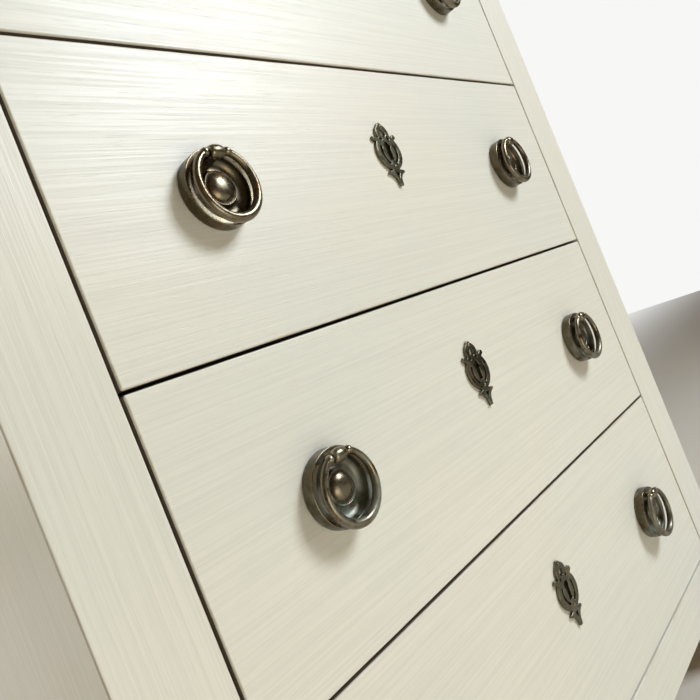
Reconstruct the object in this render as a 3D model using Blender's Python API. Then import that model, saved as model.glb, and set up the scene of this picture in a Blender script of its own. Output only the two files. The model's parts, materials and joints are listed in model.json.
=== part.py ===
"""Small painted chest with four drawers, ring pulls and pierced keyhole plates.

Metres, +Z up.  The chest faces -Y, so left is -X.  The origin is on the floor, under
the middle of the whole object with its rings.  Drawers are numbered from the top.
"""
import math

import bmesh
import bpy
from mathutils import Matrix, Vector

# Clearances.
GAP = 0.0003                 # between pieces that touch
REVEAL = 0.0020              # the visible gap round each drawer front
DRAWERS = 4

# Case.
CASE_WIDTH = 0.614
CASE_DEPTH = 0.400
CASE_HEIGHT = 0.788
POST = 0.048
FOOT = 0.034
FOOT_HEIGHT = 0.078
TOP_THICKNESS = 0.022
TOP_OVERHANG = 0.010
PANEL = 0.016
PANEL_INSET = 0.006
BACK_PANEL = 0.008
BACK_INSET = 0.012
APRON_HEIGHT = 0.040
RAIL = 0.018
RAIL_SETBACK = 0.0205
TOP_RAIL = 0.0107
RUNNER_INNER = 0.238
REAR_RAIL = 0.030
GUIDE_HEIGHT = 0.012
BOTTOM_BOARD = 0.006
EDGE = 0.0010                # rounding of the painted arrises
TOP_EDGE = 0.0020

# Drawers.
DRAWER_PITCH = 0.167
FRONT_THICKNESS = 0.020
DRAWER_SIDE = 0.012
SIDE_HEIGHT = 0.145
SIDE_CLEARANCE = 0.0005      # a drawer side stands in this far from its front's end
DRAWER_DEPTH = 0.340
BOTTOM_THICKNESS = 0.006
BOTTOM_RISE = 0.010
GROOVE_DEPTH = 0.005

# Ring pull.
PULL_X = 0.1665
PULL_RISE = 0.0009           # pulls sit this far above the middle of the drawer front
ROSE_RADIUS = 0.0216
HINGE_REACH = 0.013          # hinge axis, out from the drawer front
HINGE_RISE = 0.0166          # hinge axis, up from the middle of the rose
RING_HALF_WIDTH = 0.0182
RING_HALF_HEIGHT = 0.0189
RING_THICK = 0.0027
RING_THIN = 0.0019
BALL_X = 0.0072
BALL_RADIUS = 0.0025
PIN_RADIUS = 0.0011
PIN_TIP = 0.0021
BARREL_RADIUS = 0.0036
BARREL_HALF = 0.0044
BARREL_CHAMFER = 0.0008
BORE_RADIUS = 0.0015
BORE_END = 0.0016
NECK_HALF = 0.0033
NECK_LOW = 0.0142
NECK_HIGH = 0.0188
NECK_ROOT = 0.0020
STUD_RADIUS = 0.0020
STUD_LENGTH = 0.028
STUD_HOLE = 0.0023
ROSE_SIDES = 24
BARREL_SIDES = 12
BORE_SIDES = 8
RING_SIDES = 8
RING_STEPS = 10
BALL_ANGLES = (math.radians(58), math.radians(90))

# Keyhole plate, measured from the middle of the drawer front.
PLATE_THICKNESS = 0.0020
BODY_Z = 0.0180
BODY_RADIUS = 0.0135
LOOP_Z = 0.0320
LOOP_RADIUS = 0.0072
FINIAL_Z = 0.0378
FINIAL_RADIUS = 0.0027
EAR_ROOT = (0.0085, 0.0274)
EAR_TIP = (0.0114, 0.0292)
EAR_RADIUS = 0.0019
WAIST_HALF = 0.0040
WAIST_Z = 0.0048
SHOULDER = (0.0090, 0.0037)
TAIL_HOLLOW = (0.0094, -0.0056)
TAIL_HOLLOW_RADIUS = 0.0075
TAIL_TIP = (0.0015, -0.0076)
KEYHOLE_Z = 0.0225
KEYHOLE_RADIUS = 0.0031
KEYHOLE_SLOT = 0.0022
KEYHOLE_END = 0.0120
KEYHOLE_MARGIN = 0.0003      # the recess in the wood is this much bigger all round
KEYHOLE_DEPTH = 0.012
LOOP_HOLE = 0.0026
EYE = (0.0042, 0.0283)
EYE_RADIUS = 0.0012
SLOT_CENTRE = (0.0025, 0.0185)
SLOT_RADIUS = 0.0105
SLOT_HALF = 0.0009
SLOT_ARC = (math.radians(154), math.radians(237))
TAIL_HOLE = ((-0.0024, 0.0026), (0.0024, 0.0026), (0.0, -0.0016))

# Places that follow from the sizes above.
PULL_REACH = HINGE_REACH + BARREL_RADIUS
Y_BACK = (CASE_DEPTH + PULL_REACH) / 2
Y_FRONT = Y_BACK - CASE_DEPTH
OPENING_HALF = CASE_WIDTH / 2 - POST
FRONT_HALF = OPENING_HALF - REVEAL
FRONT_HEIGHT = DRAWER_PITCH - REVEAL
LOWEST_GAP_Z = CASE_HEIGHT - REVEAL / 2 - DRAWERS * DRAWER_PITCH
RING_DROP = RING_HALF_HEIGHT * math.sqrt(1 - (BALL_X / RING_HALF_WIDTH) ** 2)

PAINT = ("cream_paint", (0.72, 0.69, 0.58), 0.45, 0.0)
LINING = ("drawer_lining", (0.42, 0.27, 0.15), 0.60, 0.0)
RUNNER_WOOD = ("runner_wood", (0.50, 0.36, 0.22), 0.65, 0.0)
BRONZE = ("aged_brass", (0.22, 0.17, 0.10), 0.35, 1.0)
PLATE_METAL = ("dark_brass", (0.15, 0.14, 0.10), 0.45, 1.0)


def clear_scene():
    """Remove every object that the file opened with."""
    for thing in list(bpy.data.objects):
        bpy.data.objects.remove(thing)


def material_for(finish):
    """Give the material of a finish, making it the first time."""
    name, colour, roughness, metallic = finish
    material = bpy.data.materials.get(name)
    if material is None:
        material = bpy.data.materials.new(name)
        material.use_nodes = True
        shader = material.node_tree.nodes["Principled BSDF"]
        shader.inputs["Base Color"].default_value = (*colour, 1.0)
        shader.inputs["Roughness"].default_value = roughness
        shader.inputs["Metallic"].default_value = metallic
        material.diffuse_color = (*colour, 1.0)
    return material


def add_object(name, mesh, location=(0, 0, 0), parent=None):
    """Link a new object that shows a mesh."""
    thing = bpy.data.objects.new(name, mesh)
    thing.location = location
    thing.parent = parent
    bpy.context.scene.collection.objects.link(thing)
    return thing


def add_empty(name, location, parent=None):
    """Link an empty that carries the pieces of one moving body."""
    return add_object(name, None, location, parent)


def mesh_from(bm, name, finish):
    """Turn a bmesh into a mesh with its faces pointing out and its finish set."""
    bmesh.ops.recalc_face_normals(bm, faces=bm.faces)
    mesh = bpy.data.meshes.new(name)
    bm.to_mesh(mesh)
    bm.free()
    mesh.materials.append(material_for(finish))
    return mesh


def shade_round(mesh):
    """Shade a turned or bent piece smooth, but for its real edges."""
    mesh.shade_smooth()
    mesh.set_sharp_from_angle(angle=math.radians(35))


def block_mesh(name, low, high, finish):
    """A board between two opposite corners."""
    bm = bmesh.new()
    middle = (Vector(low) + Vector(high)) / 2
    size = Vector(high) - Vector(low)
    bmesh.ops.create_cube(bm, size=1, matrix=Matrix.Translation(middle) @ Matrix.Diagonal((*size, 1)))
    return mesh_from(bm, name, finish)


def prism_mesh(name, outline, low, high, axis, finish):
    """Extrude an outline along +Y from (x, z) points, or along +Z from (x, y) points."""
    bm = bmesh.new()
    if axis == "Y":
        base = [bm.verts.new((a, low, b)) for a, b in outline]
        travel = Vector((0, high - low, 0))
    else:
        base = [bm.verts.new((a, b, low)) for a, b in outline]
        travel = Vector((0, 0, high - low))
    face = bm.faces.new(base)
    grown = bmesh.ops.extrude_face_region(bm, geom=[face])["geom"]
    raised = [item for item in grown if isinstance(item, bmesh.types.BMVert)]
    bmesh.ops.translate(bm, verts=raised, vec=travel)
    return mesh_from(bm, name, finish)


def turned_mesh(name, profile, steps, axis, finish):
    """Spin a profile of points, which starts and ends on the axis, through a full turn."""
    bm = bmesh.new()
    verts = [bm.verts.new(point) for point in profile]
    edges = [bm.edges.new(pair) for pair in zip(verts, verts[1:])]
    bmesh.ops.spin(bm, geom=verts + edges, cent=(0, 0, 0), axis=axis, angle=math.tau, steps=steps)
    bmesh.ops.remove_doubles(bm, verts=bm.verts, dist=1e-6)
    return mesh_from(bm, name, finish)


def arc(centre, radius, start, end, steps):
    """Points along an arc, both ends included."""
    points = []
    for step in range(steps + 1):
        angle = start + (end - start) * step / steps
        points.append((centre[0] + radius * math.cos(angle), centre[1] + radius * math.sin(angle)))
    return points


def circle(centre, radius, sides):
    """Points round a full circle."""
    return arc(centre, radius, 0, math.tau, sides)[:-1]


def mirrored(points):
    """The same points on the other side of x = 0, in the opposite order."""
    return [(-x, z) for x, z in reversed(points)]


def merge(target, mesh, operation):
    """Join a mesh to an object, or cut it from the object, and keep the result."""
    tool = add_object("tool", mesh)
    modifier = target.modifiers.new("shape", "BOOLEAN")
    modifier.operation = operation
    modifier.solver = "EXACT"
    modifier.object = tool
    depsgraph = bpy.context.evaluated_depsgraph_get()
    result = bpy.data.meshes.new_from_object(target.evaluated_get(depsgraph))
    target.modifiers.clear()
    target.data = result
    bpy.data.objects.remove(tool)


def finished_mesh(target):
    """Take an object's finished mesh and remove the object."""
    mesh = target.data
    bpy.data.objects.remove(target)
    return mesh


def round_edges(thing, width):
    """Ease the arrises of a board."""
    bevel = thing.modifiers.new("eased edges", "BEVEL")
    bevel.width = width
    bevel.segments = 2


def board(name, low, high, finish=PAINT, parent=None, edge=0.0):
    """A board as its own object, its origin at its middle."""
    middle = (Vector(low) + Vector(high)) / 2
    mesh = block_mesh(name, Vector(low) - middle, Vector(high) - middle, finish)
    thing = add_object(name, mesh, middle, parent)
    if edge:
        round_edges(thing, edge)
    return thing


def post(name, side, end):
    """A corner post whose foot tapers on its two inner faces."""
    bm = bmesh.new()
    outer = Vector((side * CASE_WIDTH / 2, Y_BACK if end > 0 else Y_FRONT))
    rings = []
    for width, z in ((FOOT, 0), (POST, FOOT_HEIGHT), (POST, CASE_HEIGHT - GAP)):
        corners = ((0, 0), (side * width, 0), (side * width, end * width), (0, end * width))
        rings.append([bm.verts.new((-x, -y, z)) for x, y in corners])
    for lower, upper in zip(rings, rings[1:]):
        for index in range(4):
            after = (index + 1) % 4
            bm.faces.new((lower[index], lower[after], upper[after], upper[index]))
    bm.faces.new(rings[0])
    bm.faces.new(rings[-1])
    thing = add_object(name, mesh_from(bm, name, PAINT), (outer.x, outer.y, 0))
    round_edges(thing, EDGE)


def gap_height(index):
    """Height of the middle of the gap under drawer number index; 0 is the topmost gap."""
    return LOWEST_GAP_Z + (DRAWERS - index) * DRAWER_PITCH


def case_shell():
    """Posts, top, sides, back, apron and bottom board."""
    for side, hand in ((-1, "left"), (1, "right")):
        post(f"post_front_{hand}", side, -1)
        post(f"post_rear_{hand}", side, 1)
        outer = side * (CASE_WIDTH / 2 - PANEL_INSET)
        across = sorted((outer, outer - side * PANEL))
        board(f"side_panel_{hand}", (across[0], Y_FRONT + POST + GAP, FOOT_HEIGHT),
              (across[1], Y_BACK - POST - GAP, CASE_HEIGHT - GAP))
    half_top = CASE_WIDTH / 2 + TOP_OVERHANG
    board("top_board", (-half_top, Y_FRONT - TOP_OVERHANG, CASE_HEIGHT),
          (half_top, Y_BACK, CASE_HEIGHT + TOP_THICKNESS), edge=TOP_EDGE)
    inner = OPENING_HALF - GAP
    board("back_panel", (-inner, Y_BACK - BACK_INSET - BACK_PANEL, FOOT_HEIGHT),
          (inner, Y_BACK - BACK_INSET, CASE_HEIGHT - GAP), RUNNER_WOOD)
    apron_top = LOWEST_GAP_Z - REVEAL / 2
    board("front_apron", (-inner, Y_FRONT, apron_top - APRON_HEIGHT),
          (inner, Y_FRONT + FRONT_THICKNESS, apron_top), edge=EDGE)
    half_board = CASE_WIDTH / 2 - PANEL_INSET - PANEL - GAP
    board_top = LOWEST_GAP_Z - RAIL / 2 - GAP
    board("bottom_board", (-half_board, Y_FRONT + POST + GAP, board_top - BOTTOM_BOARD),
          (half_board, Y_BACK - POST - GAP, board_top), RUNNER_WOOD)


def front_rail(name, low_z, high_z):
    """A rail between the front posts, set back behind the drawer fronts."""
    inner = OPENING_HALF - GAP
    board(name, (-inner, Y_FRONT + RAIL_SETBACK, low_z), (inner, Y_FRONT + POST, high_z))


def rails():
    """The rails under each drawer and the thinner one over the top drawer."""
    front_rail("top_rail", CASE_HEIGHT - GAP - TOP_RAIL, CASE_HEIGHT - GAP)
    for number in range(1, DRAWERS + 1):
        middle = gap_height(number)
        name = "bottom_rail" if number == DRAWERS else f"divider_rail_{number}"
        front_rail(name, middle - RAIL / 2, middle + RAIL / 2)


def runner_frame_mesh():
    """Two runners joined by a rear rail, with a guide strip along each, about z = 0."""
    outer = CASE_WIDTH / 2 - PANEL_INSET - PANEL - GAP
    near = Y_FRONT + POST + GAP
    far = Y_BACK - POST - GAP
    half = [(outer, far), (outer, near), (RUNNER_INNER, near), (RUNNER_INNER, far - REAR_RAIL)]
    plan = half + mirrored(half)
    frame = add_object("frame", prism_mesh("runner_frame", plan, -RAIL / 2, RAIL / 2, "Z", RUNNER_WOOD))
    for side in (-1, 1):
        across = sorted((side * (OPENING_HALF + GAP), side * outer))
        strip = block_mesh("strip", (across[0], near, 0), (across[1], far, RAIL / 2 + GUIDE_HEIGHT), RUNNER_WOOD)
        merge(frame, strip, "UNION")
    return finished_mesh(frame)


def runner_frames():
    """One frame under each drawer."""
    mesh = runner_frame_mesh()
    for number in range(1, DRAWERS + 1):
        add_object(f"runner_frame_{number}", mesh, (0, 0, gap_height(number)))


def keyhole_outline(margin):
    """A round eye over a straight slot; a margin makes the outline bigger all round."""
    radius = KEYHOLE_RADIUS + margin
    slot = KEYHOLE_SLOT + margin
    corner = math.asin(slot / radius)
    outline = arc((0, KEYHOLE_Z), radius, corner - math.pi / 2, 1.5 * math.pi - corner, 10)
    return outline + [(-slot, KEYHOLE_END - margin), (slot, KEYHOLE_END - margin)]


def drawer_front_mesh():
    """A drawer front with a blind keyhole, two stud holes and a groove for the bottom."""
    half_height = FRONT_HEIGHT / 2
    low = (-FRONT_HALF, 0, -half_height)
    high = (FRONT_HALF, FRONT_THICKNESS, half_height)
    front = add_object("front", block_mesh("drawer_front", low, high, PAINT))
    round_edges(front, EDGE)
    keyhole = prism_mesh("keyhole", keyhole_outline(KEYHOLE_MARGIN), -0.01, KEYHOLE_DEPTH, "Y", PAINT)
    merge(front, keyhole, "DIFFERENCE")
    for x in (-PULL_X, PULL_X):
        hole = prism_mesh("hole", circle((x, PULL_RISE), STUD_HOLE, BORE_SIDES), -0.01, 0.03, "Y", PAINT)
        merge(front, hole, "DIFFERENCE")
    half_groove = FRONT_HALF - SIDE_CLEARANCE - DRAWER_SIDE + GROOVE_DEPTH
    floor = side_bottom() + BOTTOM_RISE
    groove = block_mesh("groove", (-half_groove, FRONT_THICKNESS - GROOVE_DEPTH, floor - GAP),
                        (half_groove, FRONT_THICKNESS + 0.01, floor + BOTTOM_THICKNESS + GAP), PAINT)
    merge(front, groove, "DIFFERENCE")
    return finished_mesh(front)


def side_bottom():
    """Lower edge of a drawer's sides, from the middle of the drawer front."""
    return RAIL / 2 + GAP - DRAWER_PITCH / 2


def drawer_side(name, side, parent):
    """A drawer side with a groove for the bottom along its inner face."""
    outer = side * (FRONT_HALF - SIDE_CLEARANCE)
    inner = outer - side * DRAWER_SIDE
    groove = inner + side * GROOVE_DEPTH
    low = side_bottom()
    groove_low = low + BOTTOM_RISE - GAP
    groove_high = low + BOTTOM_RISE + BOTTOM_THICKNESS + GAP
    outline = [(outer, low), (outer, low + SIDE_HEIGHT), (inner, low + SIDE_HEIGHT), (inner, groove_high),
               (groove, groove_high), (groove, groove_low), (inner, groove_low), (inner, low)]
    near = FRONT_THICKNESS + GAP
    add_object(name, prism_mesh(name, outline, near, FRONT_THICKNESS + DRAWER_DEPTH, "Y", LINING), parent=parent)


def drawer_box(number, carrier):
    """The sides, back and bottom of one drawer."""
    drawer_side(f"drawer_{number}_side_left", -1, carrier)
    drawer_side(f"drawer_{number}_side_right", 1, carrier)
    inner = FRONT_HALF - SIDE_CLEARANCE - DRAWER_SIDE - GAP
    low = side_bottom() + BOTTOM_RISE
    rear = FRONT_THICKNESS + DRAWER_DEPTH
    board(f"drawer_{number}_back", (-inner, rear - DRAWER_SIDE, low + BOTTOM_THICKNESS + GAP),
          (inner, rear, side_bottom() + SIDE_HEIGHT), LINING, carrier)
    reach = inner + GROOVE_DEPTH
    near = FRONT_THICKNESS - GROOVE_DEPTH + GAP
    board(f"drawer_{number}_bottom", (-reach, near, low), (reach, rear, low + BOTTOM_THICKNESS), LINING, carrier)


def rose_profile():
    """Stud, back, rolled rim, dished floor and domed boss, as (radius, reach) points."""
    return [(0, -STUD_LENGTH), (STUD_RADIUS, -STUD_LENGTH), (STUD_RADIUS, GAP), (ROSE_RADIUS, GAP),
            (ROSE_RADIUS, 0.0068), (0.0203, 0.0081), (0.0184, 0.0072), (0.0162, 0.0036), (0.0112, 0.0028),
            (0.0099, 0.0036), (0.0095, 0.0068), (0.0083, 0.0066), (0.0050, 0.0092), (0, 0.0100)]


def rose_mesh():
    """The pull's back plate, with its stud behind and its hinge barrel at the top."""
    profile = [(radius, -reach, 0) for radius, reach in rose_profile()]
    rose = add_object("rose", turned_mesh("rose", profile, ROSE_SIDES, (0, 1, 0), BRONZE))
    neck = block_mesh("neck", (-NECK_HALF, -HINGE_REACH, NECK_LOW), (NECK_HALF, -NECK_ROOT + 0.001, NECK_HIGH), BRONZE)
    merge(rose, neck, "UNION")
    shoulder = BARREL_RADIUS - BARREL_CHAMFER
    barrel_profile = [(-BARREL_HALF, 0, 0), (-BARREL_HALF, -shoulder, 0),
                      (BARREL_CHAMFER - BARREL_HALF, -BARREL_RADIUS, 0),
                      (BARREL_HALF - BARREL_CHAMFER, -BARREL_RADIUS, 0), (BARREL_HALF, -shoulder, 0),
                      (BARREL_HALF, 0, 0)]
    barrel = turned_mesh("barrel", barrel_profile, BARREL_SIDES, (1, 0, 0), BRONZE)
    barrel.transform(Matrix.Translation((0, -HINGE_REACH, HINGE_RISE)))
    merge(rose, barrel, "UNION")
    for side in (-1, 1):
        bore_profile = [(side * BORE_END, 0, 0), (side * BORE_END, -BORE_RADIUS, 0),
                        (side * (BARREL_HALF + 0.001), -BORE_RADIUS, 0), (side * (BARREL_HALF + 0.001), 0, 0)]
        bore = turned_mesh("bore", bore_profile, BORE_SIDES, (1, 0, 0), BRONZE)
        bore.transform(Matrix.Translation((0, -HINGE_REACH, HINGE_RISE)))
        merge(rose, bore, "DIFFERENCE")
    mesh = finished_mesh(rose)
    shade_round(mesh)
    return mesh


def ring_thickness(turn):
    """The ring's own radius, thicker towards its lowest point."""
    return RING_THIN + (RING_THICK - RING_THIN) * (1 - math.cos(turn)) / 2


def ring_stations():
    """Stops along the ring, from one pin's tip to the other's: (x, z, turn, thickness).

    Heights are from the hinge axis, and the ring is a slightly tall oval.
    """
    top = math.asin(BALL_X / RING_HALF_WIDTH)
    root = BALL_X - math.sqrt(BALL_RADIUS ** 2 - PIN_RADIUS ** 2)
    half = [(PIN_TIP, 0, 0, PIN_RADIUS), (root, 0, 0, PIN_RADIUS)]
    for angle in BALL_ANGLES:
        x = BALL_X - BALL_RADIUS * math.cos(angle)
        half.append((x, 0, top / 2, BALL_RADIUS * math.sin(angle)))
    neck = math.asin(RING_THIN / BALL_RADIUS)
    start = top + BALL_RADIUS * math.cos(neck) / RING_HALF_WIDTH
    for step in range(RING_STEPS):
        turn = start + (math.pi - start) * step / RING_STEPS
        x = RING_HALF_WIDTH * math.sin(turn)
        half.append((x, RING_HALF_HEIGHT * math.cos(turn) - RING_DROP, turn, ring_thickness(turn)))
    lowest = (0, -RING_HALF_HEIGHT - RING_DROP, math.pi, RING_THICK)
    other = [(-x, z, math.tau - turn, thickness) for x, z, turn, thickness in reversed(half)]
    return half + [lowest] + other


def ring_mesh():
    """The hanging ring with its ball ends and pins, its origin on the hinge axis."""
    bm = bmesh.new()
    loops = []
    for x, z, turn, thickness in ring_stations():
        centre = Vector((x, 0, z))
        outward = Vector((math.sin(turn), 0, math.cos(turn)))
        loop = []
        for side in range(RING_SIDES):
            angle = math.tau * side / RING_SIDES
            loop.append(bm.verts.new(centre + thickness * (math.cos(angle) * outward
                                                           + math.sin(angle) * Vector((0, 1, 0)))))
        loops.append(loop)
    for loop, following in zip(loops, loops[1:]):
        for side in range(RING_SIDES):
            after = (side + 1) % RING_SIDES
            bm.faces.new((loop[side], loop[after], following[after], following[side]))
    bm.faces.new(loops[0])
    bm.faces.new(loops[-1])
    mesh = mesh_from(bm, "ring", BRONZE)
    shade_round(mesh)
    return mesh


def plate_slab(name, outline, margin=0.0):
    """A flat piece of the keyhole plate, or a cutter that is thicker by a margin."""
    return prism_mesh(name, outline, -GAP - PLATE_THICKNESS - margin, -GAP + margin, "Y", PLATE_METAL)


def ear_outline(side):
    """A short bar with round ends that rises outwards."""
    slope = math.atan2(EAR_TIP[1] - EAR_ROOT[1], EAR_TIP[0] - EAR_ROOT[0])
    outer = arc(EAR_TIP, EAR_RADIUS, slope - math.pi / 2, slope + math.pi / 2, 4)
    inner = arc(EAR_ROOT, EAR_RADIUS, slope + math.pi / 2, slope + 1.5 * math.pi, 2)
    return [(side * x, z) for x, z in outer + inner]


def tail_outline():
    """A waist that flares to pointed shoulders and hollows down to a blunt tip."""
    hollow = arc(TAIL_HOLLOW, TAIL_HOLLOW_RADIUS, math.radians(95), math.radians(175), 4)
    half = [(WAIST_HALF, WAIST_Z + 0.003), (WAIST_HALF, WAIST_Z), SHOULDER] + hollow + [TAIL_TIP]
    return half + mirrored(half)


def slot_outline(side):
    """A curved slot beside the keyhole."""
    start, end = SLOT_ARC
    outer = arc(SLOT_CENTRE, SLOT_RADIUS + SLOT_HALF, start, end, 4)
    inner = arc(SLOT_CENTRE, SLOT_RADIUS - SLOT_HALF, end, start, 4)
    return [(side * x, z) for x, z in outer + inner]


def keyhole_plate_mesh():
    """The pierced plate: round body, loop, finial, ears and tail, with all its holes."""
    plate = add_object("plate", plate_slab("keyhole_plate", circle((0, BODY_Z), BODY_RADIUS, 24)))
    solids = [circle((0, LOOP_Z), LOOP_RADIUS, 16), circle((0, FINIAL_Z), FINIAL_RADIUS, 10),
              ear_outline(-1), ear_outline(1), tail_outline()]
    for outline in solids:
        merge(plate, plate_slab("solid", outline), "UNION")
    holes = [keyhole_outline(0), circle((0, LOOP_Z), LOOP_HOLE, 10), slot_outline(-1), slot_outline(1), TAIL_HOLE]
    holes += [circle((side * EYE[0], EYE[1]), EYE_RADIUS, 6) for side in (-1, 1)]
    for outline in holes:
        merge(plate, plate_slab("hole", outline, PLATE_THICKNESS), "DIFFERENCE")
    return finished_mesh(plate)


def drawers():
    """Each drawer with its box, plate, roses and rings, on empties at the moving axes."""
    front = drawer_front_mesh()
    plate = keyhole_plate_mesh()
    rose = rose_mesh()
    ring = ring_mesh()
    for number in range(1, DRAWERS + 1):
        middle = gap_height(number) + DRAWER_PITCH / 2
        carrier = add_empty(f"drawer_{number}_slide", (0, Y_FRONT, middle))
        add_object(f"drawer_{number}_front", front, parent=carrier)
        drawer_box(number, carrier)
        add_object(f"keyhole_plate_{number}", plate, parent=carrier)
        for x, hand in ((-PULL_X, "left"), (PULL_X, "right")):
            add_object(f"rose_{number}_{hand}", rose, (x, 0, PULL_RISE), carrier)
            add_object(f"ring_{number}_{hand}", ring, (x, -HINGE_REACH, PULL_RISE + HINGE_RISE), carrier)


def main():
    """Build the whole chest."""
    clear_scene()
    case_shell()
    rails()
    runner_frames()
    drawers()


main()
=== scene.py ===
"""Looks for a small painted chest of drawers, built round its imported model.

Metres, +Z up, the chest faces -Y.  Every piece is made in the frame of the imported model, with
its object at the origin and its place in its mesh.  Each sub-assembly is a class that takes its
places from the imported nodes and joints, builds its meshes and dresses them in their finishes.
"""

import json
import logging
import math
from collections.abc import Callable, Iterable, Sequence
from dataclasses import dataclass
from enum import Enum

import bmesh
import bpy
import numpy as np
from mathutils import Matrix, Vector, noise
from mathutils.bvhtree import BVHTree

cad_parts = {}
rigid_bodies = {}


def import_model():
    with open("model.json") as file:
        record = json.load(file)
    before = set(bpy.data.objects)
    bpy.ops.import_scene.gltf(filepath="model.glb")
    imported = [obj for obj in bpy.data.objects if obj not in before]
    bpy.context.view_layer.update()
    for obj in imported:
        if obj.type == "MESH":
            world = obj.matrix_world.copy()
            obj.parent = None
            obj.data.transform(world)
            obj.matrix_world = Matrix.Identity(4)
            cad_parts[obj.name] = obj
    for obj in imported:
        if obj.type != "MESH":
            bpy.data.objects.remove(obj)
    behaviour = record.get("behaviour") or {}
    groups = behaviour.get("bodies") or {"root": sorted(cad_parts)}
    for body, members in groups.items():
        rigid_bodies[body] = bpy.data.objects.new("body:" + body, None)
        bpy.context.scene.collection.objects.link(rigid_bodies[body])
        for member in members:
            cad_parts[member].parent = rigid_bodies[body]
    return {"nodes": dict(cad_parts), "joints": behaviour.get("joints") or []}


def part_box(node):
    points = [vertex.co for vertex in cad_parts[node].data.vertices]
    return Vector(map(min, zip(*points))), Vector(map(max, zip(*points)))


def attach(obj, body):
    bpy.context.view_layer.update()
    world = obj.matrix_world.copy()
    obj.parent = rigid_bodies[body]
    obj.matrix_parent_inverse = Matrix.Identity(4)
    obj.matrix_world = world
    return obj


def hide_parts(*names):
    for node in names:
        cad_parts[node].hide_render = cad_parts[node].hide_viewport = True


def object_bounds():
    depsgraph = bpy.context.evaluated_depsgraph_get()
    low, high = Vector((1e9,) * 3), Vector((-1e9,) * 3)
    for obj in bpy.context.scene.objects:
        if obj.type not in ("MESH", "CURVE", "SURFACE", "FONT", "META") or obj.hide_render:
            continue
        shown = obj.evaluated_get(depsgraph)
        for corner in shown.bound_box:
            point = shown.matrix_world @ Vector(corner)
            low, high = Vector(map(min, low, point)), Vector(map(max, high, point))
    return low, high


for startup_object in list(bpy.data.objects):
    bpy.data.objects.remove(startup_object)

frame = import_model()
CAD_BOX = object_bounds()

LOG = logging.getLogger("chest")
MM = 0.001

# Places of the Mix node's colour sockets.
MIX_FIRST, MIX_SECOND, MIX_RESULT = 6, 7, 2

Colour = tuple[float, float, float]
Point = tuple[float, float]
Outline = list[Point]


class Axis(Enum):
    """A direction of the model's frame."""

    X = 0
    Y = 1
    Z = 2


class Hand(Enum):
    """A side of the chest, as seen by someone who faces it."""

    LEFT = -1
    RIGHT = 1

    @property
    def word(self) -> str:
        """The side's name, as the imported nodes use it."""
        return self.name.lower()


class Cut(Enum):
    """What a second solid does to the first."""

    JOIN = "UNION"
    REMOVE = "DIFFERENCE"


# ---------------------------------------------------------------------------
# Materials
# ---------------------------------------------------------------------------


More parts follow.
